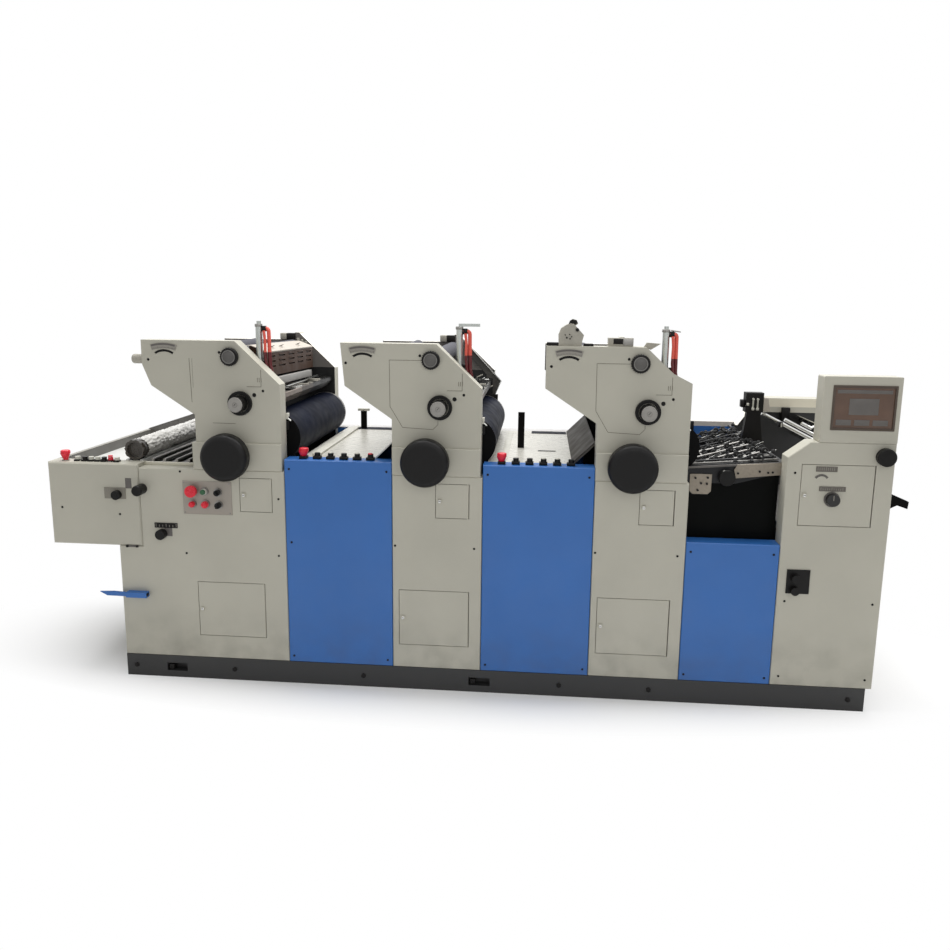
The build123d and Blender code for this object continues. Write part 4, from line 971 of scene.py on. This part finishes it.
class PRESS_OT_controls(bpy.types.Operator):
    """Collars, bases and caps of the buttons, and the selectors"""
    bl_idname = "press.controls"
    bl_label = "Controls"

    def execute(self, context):
        bm = bmesh.new()
        for x, z, r in ((-400, 861, 17), (-349, 858, 17), (-289, 856, 16), (-403, 802, 16), (-346, 802, 18),
                        (-287, 801, 16)):
            ring(bm, (x, -9.0, z), (0, 1, 0), r - 3.5, r + 2, 5.0, sides=28)
        for x, z in ((-438, 894), (-239, 894), (-438, 764), (-239, 764)):
            rod(bm, (x, -3.5, z), (x, -6.0, z), 3.6, 2.8, sides=12)
        for x in (-985, -781):
            ring(bm, (x, 40, DELIVERY_TOP), (0, 0, 1), 10, 15, 4.0, sides=24)
        piece("button_collars", bm, ["dull_steel"])

        bm = bmesh.new()
        for x, z, turn in ((-289, 856, 0.5), (-287, 801, -0.4)):
            u, w = math.cos(1.57 + turn), math.sin(1.57 + turn)
            bar(bm, (x - 12 * u, -29, z - 12 * w), (x + 12 * u, -29, z + 12 * w), 8, 7, edge=1.5)
        for n in (1, 2):
            left = tower(n)
            for k in range(5):
                x = left + BUTTON_LEFT + BUTTON_PITCH * k
                box(bm, x - 17, x + 17, 26, 54, COVER_TOP, COVER_TOP + 13, edge=2.0)
        for x in (-930, -897, -868, -839, -810, -781, -752):
            box(bm, x - 12, x + 12, 27, 53, DELIVERY_TOP, DELIVERY_TOP + 8, edge=2.0)
        for x in (76, PITCH + 77):
            box(bm, x - 16, x + 16, 22, 58, COVER_TOP, COVER_TOP + 12, edge=2.0)
        piece("button_bases", bm, ["knob_black"])

        bm = bmesh.new()
        rod(bm, (-349, -19, 858), (-349, -27, 858), 12.0, 10.5, sides=26, edge=1.2)
        piece("start_cap", bm, ["go_green"])
        bm = bmesh.new()
        for x, z in ((-985, DELIVERY_TOP), (76, COVER_TOP), (PITCH + 76, COVER_TOP)):
            rod(bm, (x, 40, z + 12), (x, 40, z + 33), 13, 21, sides=28)
        for x, y, z in ((BUTTON_LEFT + 4 * BUTTON_PITCH, 40, 1030), (-781, 40, DELIVERY_TOP + 23)):
            rod(bm, (x, y, z), (x, y, z + 5), 10.5, 9.0, sides=22, edge=1.0)
        for x, z in ((-403, 802), (-346, 802)):
            rod(bm, (x, -19, z), (x, -25, z), 12.0, 10.5, sides=24, edge=1.2)
        piece("red_caps", bm, ["stop_red"])
        bm = bmesh.new()
        for n, k in ((1, 1), (1, 3), (2, 2), (2, 3)):
            x = tower(n) + BUTTON_LEFT + BUTTON_PITCH * k
            rod(bm, (x, 40, COVER_TOP + 25), (x, 40, COVER_TOP + 30), 10.5, 9.0, sides=22, edge=1.0)
        piece("pale_caps", bm, ["cap_white"])
        return {"FINISHED"}


class PRESS_OT_display(bpy.types.Operator):
    """Frame and plain fields of the touch screen"""
    bl_idname = "press.display"
    bl_label = "Touch screen"

    def execute(self, context):
        low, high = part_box("touch_screen")
        a = (low - CORNER) / MM
        b = (high - CORNER) / MM
        bm = bmesh.new()
        wide = 6.0
        box(bm, a.x - wide, b.x + wide, -3.5, 2, b.z - 3, b.z + wide, edge=1.8)
        box(bm, a.x - wide, b.x + wide, -3.5, 2, a.z - wide, a.z + 3, edge=1.8)
        box(bm, a.x - wide, a.x + 3, -3.5, 2, a.z, b.z, edge=1.8)
        box(bm, b.x - 3, b.x + wide, -3.5, 2, a.z, b.z, edge=1.8)
        piece("display_frame", bm, ["frame_brown"])
        bm = bmesh.new()
        box(bm, a.x + 12, b.x - 12, 1.2, 2.1, b.z - 26, b.z - 12, edge=0.3)
        for k in range(3):
            left = a.x + 14 + 70 * k
            box(bm, left, left + 58, 1.2, 2.1, a.z + 14, a.z + 36, edge=0.3)
        box(bm, a.x + 60, b.x - 60, 1.2, 2.1, a.z + 56, b.z - 46, edge=0.3)
        piece("display_fields", bm, ["label_grey"])
        return {"FINISHED"}


class PRESS_OT_cylinders(bpy.types.Operator):
    """Bearer rings, plate gap and clamps of the plate cylinders"""
    bl_idname = "press.cylinders"
    bl_label = "Plate cylinders"

    def execute(self, context):
        for n in TOWERS:
            x, z = tower(n) + PLATE[0], PLATE[1]
            bm = bmesh.new()
            for y in (INNER_NEAR + 11, INNER_FAR - 33):
                ring(bm, (x, y, z), (0, 1, 0), 60, 106, 22, sides=64, mat=0 if y < 500 else 1)
            turn = math.radians(200)
            for k in (-1, 1):
                a = turn + k * 0.09
                u, w = math.cos(a), math.sin(a)
                rod(bm, (x + 103 * u, 125, z + 103 * w), (x + 103 * u, 875, z + 103 * w), 4, sides=10)
            for k in range(9):
                y = 150 + 87 * k
                u, w = math.cos(turn), math.sin(turn)
                rod(bm, (x + 100 * u, y, z + 100 * w), (x + 107 * u, y, z + 107 * w), 6, sides=6)
            piece(f"plate_clamps_{n}", bm, ["plate_navy", "dull_steel"], body=f"cylinder_{n}")
        return {"FINISHED"}


class PRESS_OT_tower_tops(bpy.types.Operator):
    """Louvred guards, damping trays, pipes and blocks above the cylinders"""
    bl_idname = "press.tower_tops"
    bl_label = "Tower tops"

    def execute(self, context):
        self.guard()
        self.trays()
        self.pipes()
        self.rams()
        self.top_blocks()
        return {"FINISHED"}

    def guard(self):
        """Louvre lips, cream top and plate of the vented guard, which tilts up at its near end."""
        bm = bmesh.new()
        near, far = INNER_NEAR + 62, INNER_FAR - 70
        pitch = (far - near) / 5
        for row in range(3):
            z = TOWER_TOP - 59 - 22 * (row + 1)
            for k in range(5):
                y = near + pitch * (k + 0.5)
                bar(bm, (-108, y - 43, z + 5), (-108, y + 43, z + 5), 9, 4, edge=1.2)
        plate(bm, [(-203, 1464.5), (-172, 1465.5), (-102, 1439), (-104, 1433), (-108, 1437.5), (-172, 1462),
                   (-203, 1461)], near - 4, far, edge=0.6, mat=1)
        for y in (300, 430, 690):
            ring(bm, (-138, y, 1453.2), (-0.4, 0, 0.92), 9, 17, 1.5, sides=24, mat=2)
        box(bm, -96, -78, near + 20, far - 120, 1294, 1326, edge=2.0, mat=3)
        for y in (near + 30, far - 120):
            box(bm, -140, -80, y, y + 14, 1296, 1312, edge=1.5, mat=2)
        for vert in bm.verts:
            vert.co.z += ((near + far) / 2 - vert.co.y) * math.tan(math.radians(1.2))
        piece("guard_louvres", bm, ["louvre_brown", "guard_cream", "label_grey", "guard_pale"])

    def trays(self):
        """Clips and bars that lie in the damping trays."""
        random.seed(5)
        bm = bmesh.new()
        for n in TOWERS:
            x = tower(n)
            bar(bm, (x - 30, INNER_NEAR + 2, 1264), (x - 30, INNER_FAR - 2, 1264), 7, 4, mat=1)
            for k in range(24):
                y = 100 + 34 * k
                deep = random.uniform(18, 60)
                shade = random.choice((0, 1, 2, 2))
                box(bm, x - 38 - deep, x - 34, y, y + random.uniform(8, 20), 1256,
                    1264 + random.uniform(2, 14), edge=1.0, mat=shade)
            rod(bm, (x - 100, INNER_NEAR + 12, 1272), (x - 100, INNER_FAR - 12, 1272), 9, sides=20, mat=1)
            if n > 1:
                for k in range(5):
                    left, low, y = x - 96 + 13 * k, 1286 - 14 * k, INNER_FAR - 60
                    bar(bm, (left, y, low), (left + 30, y, low + 14), 20, 5, mat=1 if k % 2 else 0, edge=1.0)
        piece("tray_fittings", bm, ["fitting_beige", "bright_steel", "knob_black"])

    def pipes(self):
        """Fittings at the right edge of each tower, and the edge of tower 2's guard plate."""
        bm = bmesh.new()
        for n in TOWERS:
            x = tower(n) - 10
            box(bm, x - 2, x + 9, INNER_NEAR, INNER_NEAR + 26, 1164, 1190, edge=2.0, mat=1)
            rod(bm, (x - 4, INNER_NEAR + 12, 1176), (x + 18, INNER_NEAR + 12, 1156), 5, sides=14, mat=0)
            box(bm, x - 2, x + 12, INNER_NEAR, INNER_NEAR + 20, 1120, 1156, edge=2.0, mat=2)
        x, y = tower(2), INNER_FAR - 8
        edge = [(x - 165, TOWER_TOP - 29), (x + 26, TOWER_TOP - 234), (x - 4, TOWER_TOP - 302)]
        for a, b in zip(edge, edge[1:]):
            bar(bm, (a[0], y, a[1]), (b[0], y, b[1]), 5, 5, edge=1.0, mat=0)
        plate(bm, [(x - 12, 1196), (x + 12, 1196), (x + 11, 1157), (x + 34, 1136), (x - 12, 1120)],
              INNER_FAR - 20, INNER_FAR - 8, edge=1.0, mat=2)
        piece("tower_fittings", bm, ["bright_steel", "cap_white", "satin_black"])

    def ram(self, n):
        """Middle of tower n's air cylinder."""
        return tower(n) - (122 if n == 1 else 110)

    def rams(self):
        """Collars, elbows and second hoses of the air cylinders."""
        bm = bmesh.new()
        y = INNER_NEAR + 20
        for n in TOWERS:
            x = self.ram(n)
            rod(bm, (x, y, 1380), (x, y, 1394), 16, sides=24, edge=1.5, mat=0)
            rod(bm, (x, y, 1554), (x, y, 1566), 16, sides=24, edge=1.5, mat=0)
            box(bm, x + 12, x + 34, y - 10, y + 10, 1534, 1558, edge=4.0, mat=1)
            box(bm, x + 10, x + 30, y - 8, y + 8, 1396, 1412, edge=3.0, mat=1)
        x = self.ram(3)
        bar(bm, (x + 20, y, 1562), (x + 58, y, 1556), 12, 5, edge=1.5, mat=0)
        piece("ram_fittings", bm, ["dull_steel", "knob_black"])
        bm = bmesh.new()
        for n in TOWERS:
            x = self.ram(n)
            places = [(x + 26, y - 13, 1538), (x + 30, y - 13, 1500), (x + 29, y - 12, 1430),
                      (x + 36, y - 12, 1370), (x + 46, y - 10, 1338)]
            for a, b in zip(places, places[1:]):
                rod(bm, a, b, 6, sides=14)
            for place in places[1:-1]:
                ball(bm, place, 6)
        piece("second_hoses", bm, ["hose_red"])

    def top_blocks(self):
        """Small boxes and details on top of the towers."""
        bm = bmesh.new()
        y = INNER_FAR - 20
        for x in (tower(1), tower(2)):
            box(bm, x - 290, x - 256, y, y + 40, 1461, 1494, edge=3.0, mat=0)
            box(bm, x - 256, x - 214, y, y + 36, 1461, 1494, edge=2.0, mat=1)
        for k in range(3):
            box(bm, -200 + 20 * k, -188 + 20 * k, y - 6, y + 4, 1440, 1470 - 8 * k, edge=1.5, mat=0)
        x = tower(3)
        plate(bm, [(x - 193, 1515), (x - 204, 1496), (x - 188, 1490), (x - 176, 1486), (x - 136, 1511)],
              36, 44, edge=0.8, mat=0)
        box(bm, x - 590, x - 543, 24, 60, 1497, 1510, edge=1.5, mat=1)
        box(bm, x - 443, x - 404, 26, 62, 1497, 1507, edge=1.5, mat=1)
        rod(bm, (x - 470, 20.5, 1562), (x - 470, 14, 1562), 7, sides=24, edge=1.2, mat=1)
        for u, z, r in ((-518, 1541, 2.5), (-500, 1543, 2.5), (-511, 1530, 3.5), (-498, 1526, 3.0),
                        (-492, 1534, 2.5)):
            rod(bm, (x + u, 20.5, z), (x + u, 17, z), r, sides=12, mat=1)
        box(bm, x - 325, x - 287, 28.6, 31, 1507, 1528, edge=0.6, mat=1)
        box(bm, x - 286, x - 247.5, 28.6, 31, 1500, 1530, edge=0.6, mat=2)
        plate(bm, [(x - 506, 1580), (x - 500, 1597), (x - 490, 1603.5), (x - 474, 1599), (x - 468, 1588),
                   (x - 480, 1582)], 32.5, 53.5, edge=0.6, mat=1)
        piece("top_blocks", bm, ["fitting_beige", "satin_black", "dull_steel"])


class PRESS_OT_tables(bpy.types.Operator):
    """Sheets, bars and marks on the tables between towers"""
    bl_idname = "press.tables"
    bl_label = "Tables"

    def execute(self, context):
        bm = bmesh.new()
        z = COVER_TOP
        box(bm, 92, 128, 110, 900, z + 0.4, z + 9, edge=1.5, mat=0)
        box(bm, 110, 368, 852, 916, z + 0.4, z + 2.2, mat=1)
        box(bm, 124, 184, 866, 884, z + 94, z + 106, edge=1.5, mat=0)
        left = PITCH
        box(bm, left + 66, left + 96, 140, 880, z + 0.4, z + 2.4, edge=0.5, mat=0)
        box(bm, left + 225, left + 305, 352, 366, z + 0.4, z + 1.6, mat=1)
        box(bm, left + 190, left + 366, 846, 914, z + 0.4, z + 2.0, mat=1)
        # A thin sheet on the slope up to tower 3, whose dark finish is painted shade.
        foot, top = left + SLOPE_FOOT, left + SLOPE_TOP
        plate(bm, [(foot, z + 0.8), (top, z + 90.8), (top, z + 93), (foot - 1, z + 3)], 84, 916, mat=2)
        piece("table_sheets", bm, ["cap_white", "plate_navy", "slope_dark"])
        return {"FINISHED"}


class PRESS_OT_feeder(bpy.types.Operator):
    """Rods, wheels, clips and head of the feed board"""
    bl_idname = "press.feeder"
    bl_label = "Feeder"

    def height(self, x, over=0.0):
        """Top of the feed board at x, and over: how far the fittings rise towards the feeder."""
        return 955 + (x - FEED_LEFT) * 0.2 + over * max(0.1, (x - FEED_LEFT - 120) / 250)

    def execute(self, context):
        sizes = setting()[1]
        random.seed(11)
        bm = bmesh.new()
        thin = sizes.rod / MM
        for k in range(9):
            x = FEED_LEFT + 26 + 40 * k
            z = self.height(x, 24) + 12
            rod(bm, (x, INNER_NEAR + 9, z), (x, INNER_FAR - 9, z), thin, sides=12)
        for k in range(8):
            y = 150 + 95 * k
            a, b = FEED_LEFT + 8, CONSOLE_LEFT + 8
            bar(bm, (a, y, self.height(a) + 5), (b, y, self.height(b) + 5), 22, 2, mat=k % 2)
            b -= 68
            rod(bm, (a + 12, y + 34, self.height(a) + 14), (b, y + 34, self.height(b, 30) + 14), thin,
                sides=10, mat=1 if k < 4 else 0)
        piece("feed_tapes_and_rods", bm, ["feed_black", "dull_steel"])

        wheels, clips = bmesh.new(), bmesh.new()
        for row in range(sizes.wheels):
            x = FEED_LEFT + 34 + 34 * row
            for k in range(13):
                y = 128 + 60 * k + random.uniform(-14, 14)
                z = self.height(x, 26) + 16 + random.uniform(-3, 6)
                if (row + k) % 3:
                    rod(wheels, (x, y, z), (x, y + 13, z), 13, sides=18, edge=2.0)
                    rod(clips, (x, y - 3, z), (x, y + 16, z), 4, sides=12)
                if (row + 2 * k) % 3 == 0:
                    bar(clips, (x + 4, y + 30, z - 2), (x + 34, y + 30, z + 12), 6, 3, edge=0.8)
                if (row + k) % 4 == 1:
                    ball(wheels, (x + 20, y + 22, z + 7), 9)
        piece("feed_rollers", wheels, ["wheel_rubber"])
        piece("feed_clips", clips, ["bright_steel"])

        bm = bmesh.new()
        x = FEED_LEFT
        for z, y, deep, shade in ((1001, 90, 10, 0), (1009, 104, 12, 3), (1014, 122, 10, 0),
                                  (1020, 142, 12, 3)):
            bar(bm, (x + 4, y, z - 4), (x + 372, y, z + 26), deep, 7, mat=shade, edge=1.0)
        bar(bm, (x + 2, INNER_NEAR - 3, 1004), (x + 382, INNER_NEAR - 3, 1033), 5, 9, mat=4, edge=1.0)
        outline = [(14, 978), (104, 978), (103, 906), (90, 893), (28, 893), (14, 906)]
        plate(bm, [(x + u, z) for u, z in outline], INNER_NEAR - 5, INNER_NEAR, edge=1.0, mat=1)
        outline = [(189, 1000), (203, 1022), (382, 1034), (382, 983), (198, 964)]
        plate(bm, [(x + u, z) for u, z in outline], INNER_NEAR - 9, INNER_NEAR - 5, edge=1.0, mat=1)
        for u, z in ((36, 962), (86, 964), (60, 940), (84, 938), (48, 910), (206, 986), (292, 996),
                     (326, 992), (344, 994)):
            rod(bm, (x + u, INNER_NEAR - 4, z), (x + u, INNER_NEAR - 12, z), 4.5, sides=14, mat=2)
        rod(bm, (x + 150, INNER_NEAR - 4, 990), (x + 150, INNER_NEAR - 22, 990), 9, sides=20, edge=1.5,
            mat=0)
        box(bm, x + 151, x + 172, 898, 914, 1006, 1080, edge=1.5, mat=2)
        piece("feed_rail_fittings", bm,
              ["dull_steel", "cast_plate", "knob_black", "feed_black", "label_grey"])
        self.head()
        return {"FINISHED"}

    def head(self):
        """Suckers, side plates and cover of the suction head."""
        bm = bmesh.new()
        x = CONSOLE_LEFT - 66
        for k in range(2):
            u = x + 32 + 20 * k
            rod(bm, (u, 449, 1250), (u, 442, 1250), 5, sides=16, mat=1)
            rod(bm, (u, 446, 1248), (u, 446, 1212), 3.5, sides=14, mat=1)
            box(bm, u - 6, u + 6, 440, 450, 1200, 1212, edge=2.0, mat=1)
        box(bm, x + 4, x + 14, 441, 450, 1220, 1232, edge=2.0, mat=1)
        box(bm, x - 16, x + 2, 460, 496, 1210, 1244, edge=3.0, mat=0)
        plate(bm, [(x + 78, 1256), (x + 100, 1256), (x + 112, 1196), (x + 78, 1196)], 452, 490, edge=1.5,
              mat=2)
        box(bm, x + 150, x + 168, 440, 470, 1126, 1150, edge=3.0, mat=0)
        box(bm, x + 158, x + 164, 438, 441, 1128, 1146, mat=1)
        box(bm, CONSOLE_LEFT + 222, CONSOLE_LEFT + 262, 884, 914, 1090, 1160, edge=2.0, mat=0)
        piece("feeder_head_fittings", bm, ["satin_black", "cap_white", "guard_cream"])


class PRESS_OT_delivery(bpy.types.Operator):
    """Fittings of the delivery end"""
    bl_idname = "press.delivery"
    bl_label = "Delivery"

    def execute(self, context):
        bm = bmesh.new()
        box(bm, -700, -673, -1.6, 0.5, 860, 905, edge=0.6, mat=0)
        bar(bm, (-716, -1.2, 602), (-657, -1.2, 602), 3, 9, mat=0, edge=1.0)
        rod(bm, (-708, -1, 602), (-708, -5, 602), 6, sides=16, mat=1)
        rod(bm, (-664, -1, 602), (-664, -5, 602), 5, sides=16, mat=1)
        for k in range(7):
            box(bm, -573 + 15 * k, -571 + 15 * k, -3.6, -2.9, 694, 704 if k % 3 else 709, mat=2)
        for k in range(9):
            box(bm, -791 + 10 * k, -789.5 + 10 * k, -3.6, -2.9, 846, 855 if k % 4 else 859, mat=2)
        rod(bm, (-738, -25.5, 832), (-738, -27, 832), 15, sides=28, edge=0.6, mat=1)
        box(bm, -537, -502, -1.6, 0.5, 653, 693, edge=0.6, mat=0)
        piece("delivery_marks", bm, ["label_grey", "knob_black", "mark_white"])
        bm = bmesh.new()
        box(bm, -641, -398, 68, 79, 952, 966, edge=2.0, mat=0)
        bar(bm, (-1040, INNER_FAR + 3, 970), (-821, INNER_FAR + 3, 1043), 5, 3, mat=2)
        bar(bm, (-821, INNER_FAR + 3, 1043), (-644, INNER_FAR + 3, 1105), 5, 3, mat=2)
        for k in range(4):
            rod(bm, (-612 + 54 * k, INNER_NEAR + 2, 972), (-612 + 54 * k, INNER_FAR - 2, 972), 7, sides=16,
                mat=1)
        piece("delivery_rods", bm, ["cream_edge", "dull_steel", "label_grey"])
        self.film()
        return {"FINISHED"}

    def film(self):
        """Crumpled wrap of the film roll, standing for its plain solid."""
        depth = setting()[1].crumple / MM
        low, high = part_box("wrapped_roll")
        a, b = (low - CORNER) / MM, (high - CORNER) / MM
        centre = Vector(((a.x + b.x) / 2, 0, (a.z + b.z) / 2))
        bm = bmesh.new()
        rod(bm, (centre.x, a.y + 1, centre.z), (centre.x, b.y - 1, centre.z), 46, sides=72)
        ends = [f for f in bm.faces if len(f.verts) > 4]
        bmesh.ops.inset_region(bm, faces=ends, thickness=12.0)
        for face in ends:
            way = Vector((0, 1, 0)) if face.calc_center_median().y < 400 else Vector((0, -1, 0))
            grown = bmesh.ops.extrude_face_region(bm, geom=[face])
            tips = [g for g in grown["geom"] if isinstance(g, bmesh.types.BMVert)]
            bmesh.ops.translate(bm, vec=way * 16, verts=tips)
            bmesh.ops.delete(bm, geom=[face], context="FACES")
        runs = [e for e in bm.edges if (e.verts[0].co - e.verts[1].co).length > 300]
        bmesh.ops.subdivide_edges(bm, edges=runs, cuts=110, use_grid_fill=True)
        for vert in bm.verts:
            out = Vector((vert.co.x - centre.x, 0, vert.co.z - centre.z))
            if out.length < 40:
                continue
            spot = Vector((vert.co.x * 0.012, vert.co.y * 0.006, vert.co.z * 0.012))
            fold = noise.ridged_multi_fractal(spot * 2.2, 0.9, 2.1, 4, 1.0, 2.0)
            small = noise.fractal(spot * 9.0, 0.8, 2.0, 3)
            vert.co -= out.normalized() * min(depth * 1.6, max(0.0, depth * (1.1 - fold * 0.55 + small)))
        wrap = piece("film_wrap", bm, ["wrap_film"])
        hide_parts("wrapped_roll")


class PRESS_OT_base(bpy.types.Operator):
    """Bolts of the base, blocks in its pockets and the lower bracket's mouth"""
    bl_idname = "press.base"
    bl_label = "Base"

    def execute(self, context):
        bm = bmesh.new()
        for x in (-700, -250, 330, 1180, 1560, 2380):
            rod(bm, (x, 1, 50), (x, -5, 50), 11, sides=6, edge=1.2)
        for x in (-560, 790):
            box(bm, x + 8, x + 30, 4, 30, 34, 58, edge=2.0)
        piece("base_bolts", bm, ["satin_black"])
        bm = bmesh.new()
        plate(bm, [(-630, 380), (-624.5, 380), (-622, 387), (-624.5, 395), (-630, 395)], -26, -4, edge=0.6)
        piece("bracket_mouth", bm, ["satin_black"])
        return {"FINISHED"}


class PRESS_PT_panel(bpy.types.Panel):
    """Lists the press's pieces in the order in which they are made"""
    bl_idname = "PRESS_PT_panel"
    bl_label = "Offset press"
    bl_space_type = "VIEW_3D"
    bl_region_type = "UI"
    bl_category = "Press"

    def draw(self, context):
        for group in (context.scene.press_colours, context.scene.press_sizes, context.scene.press_studio):
            for name in group.__annotations__:
                self.layout.prop(group, name)
        for step in STEPS:
            self.layout.operator(step.bl_idname)


STEPS = (PRESS_OT_finishes, PRESS_OT_stage, PRESS_OT_panel_trim, PRESS_OT_doors, PRESS_OT_handwheels,
         PRESS_OT_dials, PRESS_OT_controls, PRESS_OT_display, PRESS_OT_cylinders, PRESS_OT_tower_tops,
         PRESS_OT_tables, PRESS_OT_feeder, PRESS_OT_delivery, PRESS_OT_base)
CLASSES = (PressColours, PressSizes, PressStudio) + STEPS + (PRESS_PT_panel,)


def register():
    for item in CLASSES:
        bpy.utils.register_class(item)
    bpy.types.Scene.press_colours = PointerProperty(type=PressColours)
    bpy.types.Scene.press_sizes = PointerProperty(type=PressSizes)
    bpy.types.Scene.press_studio = PointerProperty(type=PressStudio)


def unregister():
    for name in ("press_colours", "press_sizes", "press_studio"):
        delattr(bpy.types.Scene, name)
    for item in reversed(CLASSES):
        bpy.utils.unregister_class(item)


def main():
    """Make everything in order."""
    register()
    for step in STEPS:
        group, name = step.bl_idname.split(".")
        getattr(getattr(bpy.ops, group), name)()
    bpy.context.view_layer.update()


if __name__ == "__main__":
    main()
